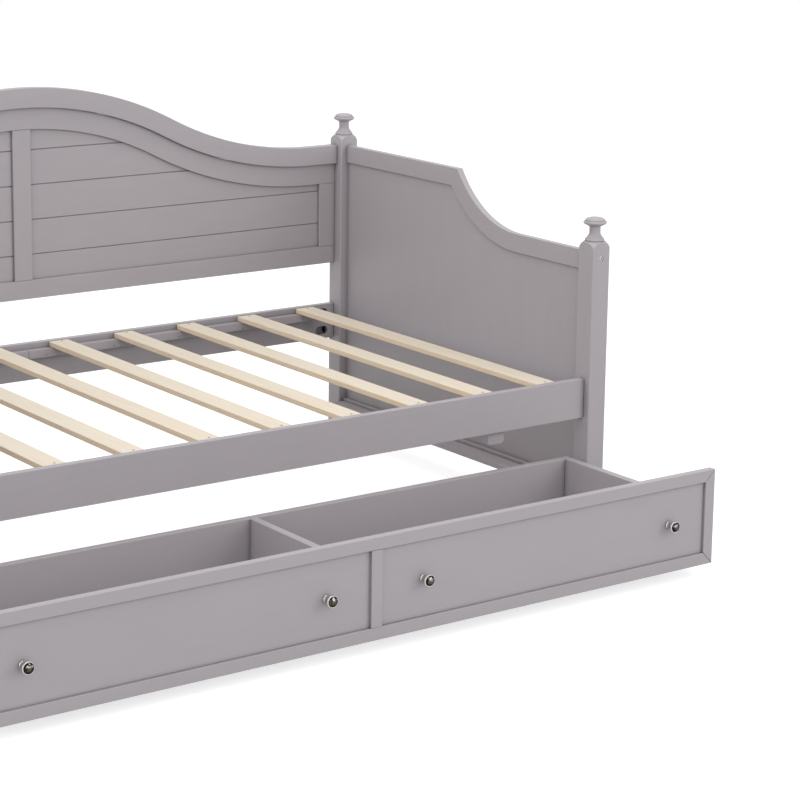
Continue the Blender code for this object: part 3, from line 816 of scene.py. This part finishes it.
@dataclass
class FrameBolts(Assembly):
    """The bolts that draw the frame together: the rails' in their pockets, the sides' through the posts."""

    bed_y: float = BED_Y
    half_length: float = HALF_LENGTH
    post_x: float = 0.992
    post_face: float = 0.560
    head_radius: float = 0.0066
    head_height: float = 0.004
    shank_radius: float = 0.003
    crown: Profile = field(default_factory=lambda: [(0.0, 1.0), (0.60, 0.97), (0.93, 0.84)])
    crown_steps: int = 4
    rim_share: float = 0.70
    point: tuple[float, float] = (0.0008, 0.001)
    socket_radius: float = 0.0021
    socket_share: float = 1.2
    sides: int = 40
    hole_sides: int = 32
    pocket_end: float = 0.021
    pocket_radius: float = 0.012
    pocket_pitch: float = 0.050
    rail_middle: float = 0.316
    rail_lines: tuple[float, float] = (-0.531, 0.543)
    side_heights: tuple[float, float, float] = (0.076, 0.664, 0.7985)
    side_bolt_length: float = 0.049
    rail_bolt_length: float = 0.048
    washer_flat: float = 0.005
    washer_width: float = 0.010
    washer_ease: float = 0.0004
    washer_steps: int = 14
    washer_hole_sides: int = 24

    def rail_places(self) -> list[Matrix]:
        """Where the rails' bolts go, with the head's seat at nought and the shank along +Z."""
        seat, rise = self.half_length - self.pocket_end, self.pocket_pitch / 2
        return [
            Matrix.Translation((side * seat, y + self.bed_y, self.rail_middle + level * rise))
            @ Matrix.Rotation(side * QUARTER, 4, "Y")
            for side in (-1, 1)
            for y in self.rail_lines
            for level in (-1, 1)
        ]

    def side_places(self) -> list[Matrix]:
        """Where the sides' bolts go.

        Returns:
            The seats, in through the posts' outer faces.
        """
        low, front, back = self.side_heights
        seat = self.post_face - self.head_height
        return [
            Matrix.Translation((side * self.post_x, row * seat + self.bed_y, height))
            @ Matrix.Rotation(row * QUARTER, 4, "X")
            for side in (-1, 1)
            for row, heights in ((-1, (low, front)), (1, (low, back)))
            for height in heights
        ]

    def holes(self, places: Iterable[Matrix], length: float, slack: float = 0.0002) -> bmesh.types.BMesh:
        """The tool for the bolts' holes.

        Args:
            places: Where the bolts go.
            length: The holes' depth past the head's seat.
            slack: The room round the bolt.

        Returns:
            The tool.
        """
        head, shank = self.head_radius + slack, self.shank_radius + slack
        top = -self.head_height - OVERRUN
        profile = [(0, top), (head, top), (head, 0), (shank, 0), (shank, length), (0, length)]
        return repeated(turned(profile, self.hole_sides), places)

    def bolt(self, length: float) -> bmesh.types.BMesh:
        """A bolt with a crowned head and a hexagon socket, its seat at nought.

        Args:
            length: The shank's length.

        Returns:
            The bolt.
        """
        radius, height = self.head_radius, self.head_height
        narrowing, taper = self.point
        crown = curved([(radius * reach, -height * rise) for reach, rise in self.crown], self.crown_steps)
        profile = [*crown, (radius, -height * self.rim_share), (radius, 0), (self.shank_radius, 0)]
        profile += [(self.shank_radius, length - taper), (self.shank_radius - narrowing, length), (0, length)]
        socket = bmesh.new()
        bmesh.ops.create_cone(
            socket,
            cap_ends=True,
            segments=6,
            radius1=self.socket_radius,
            radius2=self.socket_radius,
            depth=height * self.socket_share,
            matrix=Matrix.Translation((0, 0, -height)),
        )
        return carved(turned(profile, self.sides), ("DIFFERENCE", socket))

    def washer(self) -> bmesh.types.BMesh:
        """A half-moon washer for a pocket's round end.

        Returns:
            The washer, its flat towards the bolt's head.
        """
        radius = self.pocket_radius - GAP
        half = math.acos((radius - self.washer_flat) / radius)
        outline = arc((0, -radius), radius, QUARTER - half, QUARTER + half, self.washer_steps)
        rings = [[(x, side * self.washer_width / 2, z) for x, z in outline] for side in (-1, 1)]
        bore = self.shank_radius + GAP
        hole = turned([(0, -radius), (bore, -radius), (bore, radius), (0, radius)], self.washer_hole_sides)
        return carved(eased(loft(rings), self.washer_ease), ("DIFFERENCE", hole))

    def build(self) -> None:
        """Makes the bolts and the washers."""
        rails, on_washer = self.rail_places(), Matrix.Translation((0, 0, -self.washer_flat - GAP))
        bolts = repeated(self.bolt(self.rail_bolt_length), [place @ on_washer for place in rails])
        self.plated("rail_bolts", bolts, self.finishes.black)
        washers = repeated(moved(self.washer(), Matrix.Translation((0, 0, -GAP))), rails)
        self.plated("rail_washers", washers, self.finishes.slate)
        bolts = repeated(self.bolt(self.side_bolt_length), self.side_places())
        self.plated("side_bolts", bolts, self.finishes.nickel)


@dataclass
class Posts(Assembly):
    """Four square posts, each head turned to a round shoulder that leaves an arch on every face."""

    bolts: FrameBolts
    shoulder_height: float = 0.0235
    shoulder_radius: float = 0.026
    shoulder_steps: int = 16
    arris: float = 0.0028
    arris_facets: int = 3
    sides: int = 112

    def post(self, name: str) -> None:
        """Makes one post.

        Args:
            name: Its row and side.
        """
        low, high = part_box("post_" + name)
        centre = (low + high) / 2
        half = (high.x - low.x) / 2
        corner = half * math.sqrt(2)
        start = high.z - self.shoulder_height
        sweep = math.asin(self.shoulder_height / self.shoulder_radius)
        centre_line = (corner - self.shoulder_radius, start)
        head = arc(centre_line, self.shoulder_radius, 0, sweep, self.shoulder_steps)
        wide = corner + OVERRUN
        profile = [(0, -OVERRUN), (wide, -OVERRUN), (wide, start), *head[1:], (0, high.z)]
        place = Matrix.Translation((centre.x, centre.y, 0))
        lathe = moved(turned(profile, self.sides), place)
        square = block((low.x, low.y, 0), (high.x, high.y, high.z + OVERRUN))
        square = eased(square, self.arris, self.arris_facets)
        holes = self.bolts.holes(self.bolts.side_places(), self.bolts.side_bolt_length + OVERRUN)
        shape = carved(square, ("INTERSECT", lathe), ("DIFFERENCE", holes))
        self.painted("turned_post_" + name, shape, Grain.UP, "post_" + name)

    def build(self) -> None:
        """Makes the posts."""
        for name in CORNERS:
            self.post(name)


@dataclass
class Finials(Assembly):
    """Turned finials: a bead, a cove, and a disc whose low dome rises from a groove."""

    sides: int = 96
    steps: int = 4
    base: Profile = field(
        default_factory=lambda: [
            (0.800, 0.000), (0.835, 0.014), (0.830, 0.050), (0.790, 0.098), (0.750, 0.116),
        ]
    )
    cove: Profile = field(
        default_factory=lambda: [
            (0.688, 0.126), (0.625, 0.188), (0.545, 0.245), (0.497, 0.300), (0.480, 0.380), (0.480, 0.545),
            (0.515, 0.600), (0.640, 0.646), (0.820, 0.688), (0.950, 0.728), (1.000, 0.775), (0.985, 0.812),
            (0.930, 0.838),
        ]
    )
    dome: Profile = field(
        default_factory=lambda: [
            (0.842, 0.844), (0.846, 0.876), (0.795, 0.922), (0.660, 0.960), (0.400, 0.990), (0.000, 1.000),
        ]
    )

    def finial(self, name: str) -> None:
        """Makes one finial.

        Args:
            name: Its row and side.
        """
        low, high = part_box("finial_" + name)
        centre = (low + high) / 2
        radius, height = (high.y - low.y) / 2, high.z - low.z
        line = [(0.0, 0.0)]
        for part in (self.base, self.cove, self.dome):
            line += curved(part, self.steps)
        shape = turned([(r * radius, h * height) for r, h in line], self.sides)
        moved(shape, Matrix.Translation((centre.x, centre.y, low.z)))
        self.painted("turned_finial_" + name, shape, Grain.UP, "finial_" + name)

    def build(self) -> None:
        """Makes the finials."""
        for name in CORNERS:
            self.finial(name)


@dataclass
class Back(Assembly):
    """The back: a proud cap along the serpentine crest, the curved rail below it, and the grooved panels."""

    half_length: float = HALF_LENGTH
    arm_height: float = ARM_HEIGHT
    crest_peak: float = 1.025
    level: float = 0.089
    cap_width: float = 0.051
    cap_ease: float = 0.0022
    rail_width: float = 0.055
    rail_ease: float = 0.0010
    panel_middle: float = 0.011
    steps: int = 46

    def line(self, depth: float) -> Profile:
        """The crest's outline, drawn in square to the curve.

        Args:
            depth: How far it is drawn in.

        Returns:
            Points of x and z from left to right.
        """
        run, drop = (self.half_length - self.level) / 2, (self.crest_peak - self.arm_height) / 2
        radius = (run**2 + drop**2) / (2 * drop)
        sweep = math.asin(run / radius)
        crown = arc((0, self.crest_peak - radius), radius - depth, QUARTER, QUARTER - sweep, self.steps)
        foot = arc(
            (2 * run, self.arm_height + radius), radius + depth, -QUARTER - sweep, -QUARTER, self.steps
        )
        right = [*crown, *foot[1:], (self.half_length - GAP, self.arm_height - depth)]
        return [(-x, z) for x, z in reversed(right[1:])] + right

    def member(self, name: str, section: Profile, ease: float) -> None:
        """Makes a member that follows the crest.

        Args:
            name: The node of the frame that it shows instead of.
            section: Its section of y and depth.
            ease: The width of its rounded arrises.
        """
        tracks = [self.line(depth) for _, depth in section]
        rings = [[(x, y, z) for (y, _), (x, z) in zip(section, ring)] for ring in zip(*tracks)]
        shape = eased(loft(rings), ease)
        self.painted("curved_" + name, shape, Grain.ALONG, name)

    def build(self) -> None:
        """Makes the curved members and paints the straight ones."""
        low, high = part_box("crest_cap")
        section = [(low.y, 0), (high.y, 0), (high.y, self.cap_width), (low.y, self.cap_width)]
        self.member("crest_cap", section, self.cap_ease)
        low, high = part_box("back_curved_rail")
        start = self.cap_width + GAP
        section = grooved(low.y, high.y, start, start + self.rail_width, low.y + self.panel_middle)
        self.member("back_curved_rail", section, self.rail_ease)
        paint = self.finishes.paint
        self.dress(paint[Grain.ALONG], "back_bottom_rail", "back_panel_left", "back_panel_right")
        self.dress(paint[Grain.UP], "back_centre_stile", "back_end_stile_left", "back_end_stile_right")


@dataclass
class Sides(Assembly):
    """The sides: a top rail that sweeps down to the front, a thin panel, a bottom rail and a guide."""

    bed_y: float = BED_Y
    half_depth: float = 0.506
    arm_height: float = ARM_HEIGHT
    front_height: float = 0.677
    level: float = 0.261
    sweep_radius: float = 0.3015
    rail_width: float = 0.047
    rail_ease: float = 0.0014
    steps: int = 44

    def line(self, depth: float) -> Profile:
        """The side's outline from back to front, drawn in square to the curve.

        Args:
            depth: How far it is drawn in.

        Returns:
            Points of y and z.
        """
        radius = self.sweep_radius + depth
        centre = (self.level - self.half_depth + self.bed_y, self.front_height + self.sweep_radius)
        start = -math.asin((centre[1] - self.arm_height + depth) / radius)
        sweep = arc(centre, radius, start, -QUARTER, self.steps)
        back = (self.half_depth - GAP + self.bed_y, self.arm_height - depth)
        return [back, *sweep, (GAP - self.half_depth + self.bed_y, self.front_height - depth)]

    def top_rail(self, side: str) -> None:
        """Makes a side's swept rail.

        Args:
            side: left or right.
        """
        low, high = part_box("side_top_rail_" + side)
        section = grooved(low.x, high.x, 0, self.rail_width, (low.x + high.x) / 2)
        tracks = [self.line(depth) for _, depth in section]
        rings = [[(x, y, z) for (x, _), (y, z) in zip(section, ring)] for ring in zip(*tracks)]
        shape = eased(loft(rings), self.rail_ease)
        self.painted("swept_rail_" + side, shape, Grain.ACROSS, "side_top_rail_" + side)

    def build(self) -> None:
        """Makes the swept rails and paints the rest."""
        paint = self.finishes.paint
        for side in ("left", "right"):
            self.top_rail(side)
            self.dress(paint[Grain.ACROSS], "side_bottom_rail_" + side, "drawer_guide_" + side)
            self.dress(paint[Grain.UP], "side_panel_" + side)


@dataclass
class CrossScrews(Assembly):
    """Countersunk screws with a cross recess, drawn in shares of the head's radius."""

    head: Profile = field(default_factory=lambda: [(0, 0.10), (0.70, 0.07), (1, -0.06), (0.45, -0.75)])
    recess: Point = (0.58, 0.14, 0.55)
    screw_sides: int = 28

    def screw(self, radius: float, length: float) -> bmesh.types.BMesh:
        """A screw with its head's face at nought and its point down.

        Args:
            radius: The head's radius.
            length: The screw's length.

        Returns:
            The screw.
        """
        profile = [(reach * radius, rise * radius) for reach, rise in self.head]
        profile += [(profile[-1][0], radius - length), (0, -length)]
        arm, wide, deep = (share * radius for share in self.recess)
        recess = block((-arm, -wide, -deep), (arm, wide, radius))
        crossing = block((-wide, -arm, -deep), (wide, arm, radius))
        return carved(turned(profile, self.screw_sides), ("DIFFERENCE", recess), ("DIFFERENCE", crossing))

    def group(
        self,
        name: str,
        size: tuple[float, float],
        places: list[Matrix],
        finish: bpy.types.Material,
        body: Body = Body.BED,
    ) -> None:
        """Sets screws of one head radius and length at their places, as one piece."""
        self.plated(name, repeated(self.screw(*size), places), finish, body)


@dataclass
class SlatBase(CrossScrews):
    """The bed rails, the cleats along them, and the slats screwed down on the cleats."""

    slat_count: int = 10
    slat_screw: tuple[float, float] = (0.0035, 0.011)
    slat_screw_offset: float = 0.0045
    front_inset: float = 0.0165
    back_inset: float = 0.0115
    turn_a_slat: float = 0.7
    turn_a_row: float = 1.9
    cleat_screw: tuple[float, float] = (0.0022, 0.012)
    cleat_screw_drop: float = 0.0160
    first_cleat_screw: float = 0.0495
    cleat_screw_pitch: float = 0.2000
    cleat_screws_a_side: int = 5
    turn_a_cleat_screw: float = 0.9
    cleat_joint: float = 0.0004
    cleat_ease: float = 0.0010

    def slat_screws(self, names: Sequence[str]) -> list[Matrix]:
        """Where the slats' screws go, one down into each cleat.

        Args:
            names: The slats.

        Returns:
            The places.
        """
        places = []
        for index, name in enumerate(names):
            low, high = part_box(name)
            x = (low.x + high.x) / 2 + self.slat_screw_offset
            for end, y in enumerate((low.y + self.front_inset, high.y - self.back_inset)):
                turn = Matrix.Rotation(self.turn_a_slat * index + self.turn_a_row * end, 4, "Z")
                places.append(Matrix.Translation((x, y, high.z)) @ turn)
        return places

    def cleat_screws(self) -> list[Matrix]:
        """Where the back cleat's screws go.

        Returns:
            The places, in from its inner face.
        """
        low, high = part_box("slat_cleat_back")
        places = []
        for side in (-1, 1):
            for index in range(self.cleat_screws_a_side):
                x = side * (self.first_cleat_screw + index * self.cleat_screw_pitch)
                spot = Matrix.Translation((x, low.y, high.z - self.cleat_screw_drop))
                turn = Matrix.Rotation(self.turn_a_cleat_screw * index, 4, "Z")
                places.append(spot @ Matrix.Rotation(QUARTER, 4, "X") @ turn)
        return places

    def back_cleat(self) -> None:
        """Makes the back cleat of two lengths that meet at the middle of the bed."""
        low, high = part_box("slat_cleat_back")
        for side, start, end in (("left", low.x, -self.cleat_joint), ("right", self.cleat_joint, high.x)):
            shape = eased(block((start, low.y, low.z), (end, high.y, high.z)), self.cleat_ease)
            self.painted("back_cleat_" + side, shape, Grain.ALONG, "slat_cleat_back")

    def build(self) -> None:
        """Finishes the boards and makes their screws."""
        names = [f"slat_{number:02d}" for number in range(1, self.slat_count + 1)]
        self.dress(self.finishes.pine, *names)
        self.dress(self.finishes.paint[Grain.ALONG], "bed_rail_front", "bed_rail_back", "slat_cleat_front")
        self.back_cleat()
        self.group("slat_screws", self.slat_screw, self.slat_screws(names), self.finishes.bronze)
        self.group("cleat_screws", self.cleat_screw, self.cleat_screws(), self.finishes.bronze)


@dataclass
class Drawer(CrossScrews):
    """The drawer: its mitred front, the box with a divider, the knobs and what holds them on."""

    knob_count: int = 4
    knob_sides: int = 64
    foot: Profile = field(
        default_factory=lambda: [(0.0, 0.0), (0.59, 0.0), (0.62, 0.02), (0.62, 0.07), (0.58, 0.10)]
    )
    stem: Profile = field(
        default_factory=lambda: [
            (0.55, 0.12), (0.49, 0.20), (0.46, 0.32), (0.48, 0.44), (0.60, 0.56), (0.84, 0.66),
        ]
    )
    rim: Profile = field(
        default_factory=lambda: [
            (0.93, 0.70), (0.985, 0.745), (1.0, 0.79), (0.985, 0.84), (0.94, 0.88), (0.88, 0.905),
        ]
    )
    lip: Profile = field(default_factory=lambda: [(0.84, 0.90), (0.81, 0.885)])
    face: Profile = field(
        default_factory=lambda: [(0.78, 0.89), (0.62, 0.915), (0.40, 0.950), (0.22, 0.985), (0.0, 1.0)]
    )
    face_start: float = 0.86
    stem_steps: int = 5
    rim_steps: int = 4
    face_steps: int = 5
    knob_screw: tuple[float, float] = (0.0040, 0.020)
    knob_screw_proud: float = 0.0016
    turn_a_knob: float = 0.8

    def knob(self, number: int) -> None:
        """Makes one knob, whose rim stands round a smoked face.

        Args:
            number: Its place from the left.
        """
        node = f"knob_{number}"
        low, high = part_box(node)
        radius, length = (high.x - low.x) / 2, high.y - low.y
        line = [*self.foot, *curved(self.stem, self.stem_steps), *curved(self.rim, self.rim_steps)]
        line += [*self.lip, *curved(self.face, self.face_steps)]
        shape = turned([(r * radius, h * length) for r, h in line], self.knob_sides)
        reach, rise = (shape.verts.layers.float.new(name) for name in KnobPlate.attributes)
        for vert in shape.verts:
            on_face = vert.co.z > self.face_start * length
            vert[reach] = math.hypot(vert.co.x, vert.co.y) / radius if on_face else 1.0
            vert[rise] = vert.co.y / radius
        place = Matrix.Translation(((low.x + high.x) / 2, high.y, (low.z + high.z) / 2))
        moved(shape, place @ Matrix.Rotation(QUARTER, 4, "X"))
        set_piece(f"turned_{node}", shape, self.finishes.knob, Body.DRAWER.value, [node])

    def build(self) -> None:
        """Paints the boards and makes the knobs and their screws."""
        paint = self.finishes.paint
        self.dress(paint[Grain.ALONG], "drawer_top_rail", "drawer_bottom_rail", "drawer_front_panel")
        self.dress(paint[Grain.ALONG], "drawer_back", "drawer_base")
        self.dress(paint[Grain.UP], "drawer_end_stile_left", "drawer_end_stile_right")
        self.dress(paint[Grain.ACROSS], "drawer_side_left", "drawer_side_right", "drawer_divider")
        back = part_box("drawer_top_rail")[1].y + GAP + self.knob_screw_proud
        inwards = Matrix.Rotation(-QUARTER, 4, "X")
        places = []
        for number in range(1, self.knob_count + 1):
            self.knob(number)
            low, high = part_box(f"knob_{number}")
            spot = Matrix.Translation(((low.x + high.x) / 2, back, (low.z + high.z) / 2))
            places.append(spot @ inwards @ Matrix.Rotation(self.turn_a_knob * number, 4, "Z"))
        self.group("knob_screws", self.knob_screw, places, self.finishes.zinc, Body.DRAWER)


@dataclass
class Casters(Assembly):
    """Fixed casters: a folded housing with a riveted axle, and a moulded wheel."""

    axle_radius: float = 0.003
    axle_sides: int = 32
    rivet_rise: float = 0.001
    rivet_ease: float = 0.0002
    sheet: float = 0.002
    fold_ease: float = 0.0005
    wheel_sides: int = 72
    hub_share: float = 0.36
    hub_slope: float = 0.0008
    hollow: float = 0.003
    tread_shares: tuple[float, float] = (0.74, 0.78)
    tread_ease: float = 0.002
    tread_steps: int = 5

    def wheel(self, name: str) -> None:
        """Makes one wheel, hollowed round its hub.

        Args:
            name: Its row and side.
        """
        node = "caster_wheel_" + name
        low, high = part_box(node)
        centre = (low + high) / 2
        radius, half = (high.z - low.z) / 2, (high.x - low.x) / 2
        bore, hub = self.axle_radius + GAP, radius * self.hub_share
        inner, outer = (radius * share for share in self.tread_shares)
        floor, ease = half - self.hollow, self.tread_ease
        edge = arc((radius - ease, half - ease), ease, QUARTER, 0, self.tread_steps)
        wall = [(bore, half), (hub, half), (hub + self.hub_slope, floor), (inner, floor)]
        right = [*wall, (outer, half), *edge]
        left = [(r, -h) for r, h in reversed(right)]
        shape = turned([*right, *left, (bore, half)], self.wheel_sides)
        moved(shape, Matrix.Translation(centre) @ Matrix.Rotation(QUARTER, 4, "Y"))
        body = f"wheel_{name}"
        set_piece("moulded_wheel_" + name, shape, self.finishes.tread, body, [node])

    def housing(self, name: str) -> None:
        """Makes one housing with its axle's rivet heads.

        Args:
            name: Its row and side.
        """
        node = "caster_housing_" + name
        low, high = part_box(node)
        centre = (low + high) / 2
        axle_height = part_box("caster_wheel_" + name)[1].z / 2
        outer = (high.x - low.x) / 2 - self.rivet_rise
        inner, roof = outer - self.sheet, high.z - self.sheet
        outline = [(-outer, low.z), (-inner, low.z), (-inner, roof), (inner, roof)]
        outline += [(inner, low.z), (outer, low.z), (outer, high.z), (-outer, high.z)]
        rings = [[(centre.x + x, y, z) for x, z in outline] for y in (low.y, high.y)]
        channel = eased(loft(rings), self.fold_ease)
        top = outer + self.rivet_rise
        rim = top - self.rivet_ease
        line = [(0, -top), (self.axle_radius, -rim), (self.axle_radius, rim), (0, top)]
        axle = turned(line, self.axle_sides)
        moved(axle, Matrix.Translation((centre.x, centre.y, axle_height)) @ Matrix.Rotation(QUARTER, 4, "Y"))
        shape = carved(channel, ("UNION", axle))
        set_piece("folded_housing_" + name, shape, self.finishes.zinc, Body.DRAWER.value, [node])

    def build(self) -> None:
        """Makes the casters."""
        for name in CORNERS:
            self.wheel(name)
            self.housing(name)


@dataclass(frozen=True)
class SoftLamp:
    """A square lamp: where it hangs, what it points at, its width and its watts."""

    name: str
    place: Point
    target: Point
    width: float
    power: float

    def hang(self) -> None:
        """Hangs the lamp."""
        light = bpy.data.lights.new(self.name, "AREA")
        light.shape = "SQUARE"
        light.size = self.width
        light.energy = self.power
        lamp = bpy.data.objects.new(self.name, light)
        lamp.location = self.place
        lamp.rotation_mode = "QUATERNION"
        lamp.rotation_quaternion = (Vector(self.target) - lamp.location).to_track_quat("-Z", "Y")
        bpy.context.scene.collection.objects.link(lamp)


@dataclass
class Studio:
    """A plain pale floor, soft light from all round and above, and the camera."""

    eye: Point = (-2.8224, -4.6804, 1.7474)
    yaw: float = 0.6228
    pitch: float = -0.2055
    roll: float = 0.0120
    lens: float = 109.02
    sensor: float = 36
    shift: tuple[float, float] = (0.035, -0.120)
    white: Colour = (1, 1, 1)
    ambient: float = 0.87
    floor_reach: float = 9
    floor_drop: float = 0.0006
    floor_tones: tuple[float, float] = (0.43, 0.46)
    floor_patches: Pattern = Pattern(1.5, 2)
    floor_glow: float = 0.72
    lamps: tuple[SoftLamp, ...] = (
        SoftLamp("front", (-1.2, -5.0, 2.2), (0.0, 0.0, 0.4), 3.2, 36),
        SoftLamp("left", (-5.0, -0.8, 2.2), (0.2, 0.0, 0.4), 3.2, 50),
        SoftLamp("right", (3.2, -4.6, 2.4), (0.0, 0.0, 0.4), 3.2, 60),
        SoftLamp("top", (-0.4, 0.2, 5.2), (0.0, 0.1, 0.0), 4.0, 95),
    )

    def floor(self) -> None:
        """Lays the floor, which shows nearly white and keeps a soft shadow."""
        shape = bmesh.new()
        bmesh.ops.create_grid(shape, x_segments=4, y_segments=4, size=self.floor_reach)
        mesh = bpy.data.meshes.new("floor")
        shape.to_mesh(mesh)
        shape.free()
        floor = bpy.data.objects.new("floor", mesh)
        floor.location.z = -self.floor_drop
        bpy.context.scene.collection.objects.link(floor)
        material = bpy.data.materials.new("pale_floor")
        material.use_nodes = True
        graph = Graph(material.node_tree)
        cloud = graph.noise(graph.stretched((1, 1, 1)), self.floor_patches)
        tone = graph.blended(cloud, *(shaded(self.white, share) for share in self.floor_tones))
        matt = graph.node("ShaderNodeBsdfDiffuse", inputs={"Color": tone})
        glowing = {"Color": opaque(self.white), "Strength": self.seen(graph) * self.floor_glow}
        glow = graph.node("ShaderNodeEmission", inputs=glowing)
        both = graph.node("ShaderNodeAddShader", inputs={0: matt.outputs[0], 1: glow.outputs[0]})
        graph.node("ShaderNodeOutputMaterial", inputs={"Surface": both.outputs[0]})
        mesh.materials.append(material)

    def seen(self, graph: Graph) -> Value:
        """Whether a ray comes from the camera, or by way of metal or glass.

        Args:
            graph: The graph to build in.

        Returns:
            One for such a ray.
        """
        path = graph.node("ShaderNodeLightPath").outputs
        kinds = ("Is Camera Ray", "Is Glossy Ray", "Is Transmission Ray")
        camera, metal, glass = (Value(graph, path[kind]) for kind in kinds)
        return camera.larger(metal).larger(glass)

    def sky(self) -> None:
        """A white backdrop that lights the bed more softly than it looks."""
        world = bpy.data.worlds.new("studio")
        world.use_nodes = True
        bpy.context.scene.world = world
        graph = Graph(world.node_tree)
        strength = self.seen(graph) * (1 - self.ambient) + self.ambient
        inputs = {"Color": opaque(self.white), "Strength": strength}
        light = graph.node("ShaderNodeBackground", inputs=inputs)
        graph.node("ShaderNodeOutputWorld", inputs={"Surface": light.outputs[0]})

    def camera(self) -> None:
        """Sets the camera at the photograph's place."""
        data = bpy.data.cameras.new("camera")
        data.lens = self.lens
        data.sensor_width = self.sensor
        data.shift_x, data.shift_y = self.shift
        camera = bpy.data.objects.new("camera", data)
        camera.location = self.eye
        aim = Matrix.Rotation(-self.yaw, 3, "Z") @ Matrix.Rotation(QUARTER + self.pitch, 3, "X")
        camera.rotation_euler = (aim @ Matrix.Rotation(self.roll, 3, "Z")).to_euler()
        bpy.context.scene.collection.objects.link(camera)
        bpy.context.scene.camera = camera

    def build(self) -> None:
        """Sets the studio up."""
        self.floor()
        self.sky()
        for lamp in self.lamps:
            lamp.hang()
        self.camera()
        bpy.context.scene.view_settings.view_transform = "Standard"
        LOG.info("studio: camera at %s", self.eye)


def main() -> None:
    """Loads the frame, builds and dresses every sub-assembly, and sets up the studio."""
    logging.basicConfig(level=logging.INFO, format="%(name)s: %(message)s")
    for item in list(bpy.data.objects):
        bpy.data.objects.remove(item, do_unlink=True)
    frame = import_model()
    shared = (frame["nodes"], Finishes())
    bolts = FrameBolts(*shared)
    assemblies = [Posts(*shared, bolts), Finials(*shared), Back(*shared), Sides(*shared), SlatBase(*shared)]
    for assembly in (*assemblies, Drawer(*shared), Casters(*shared), bolts):
        LOG.info("building %s", type(assembly).__name__)
        assembly.build()
    Studio().build()


if __name__ == "__main__":
    main()
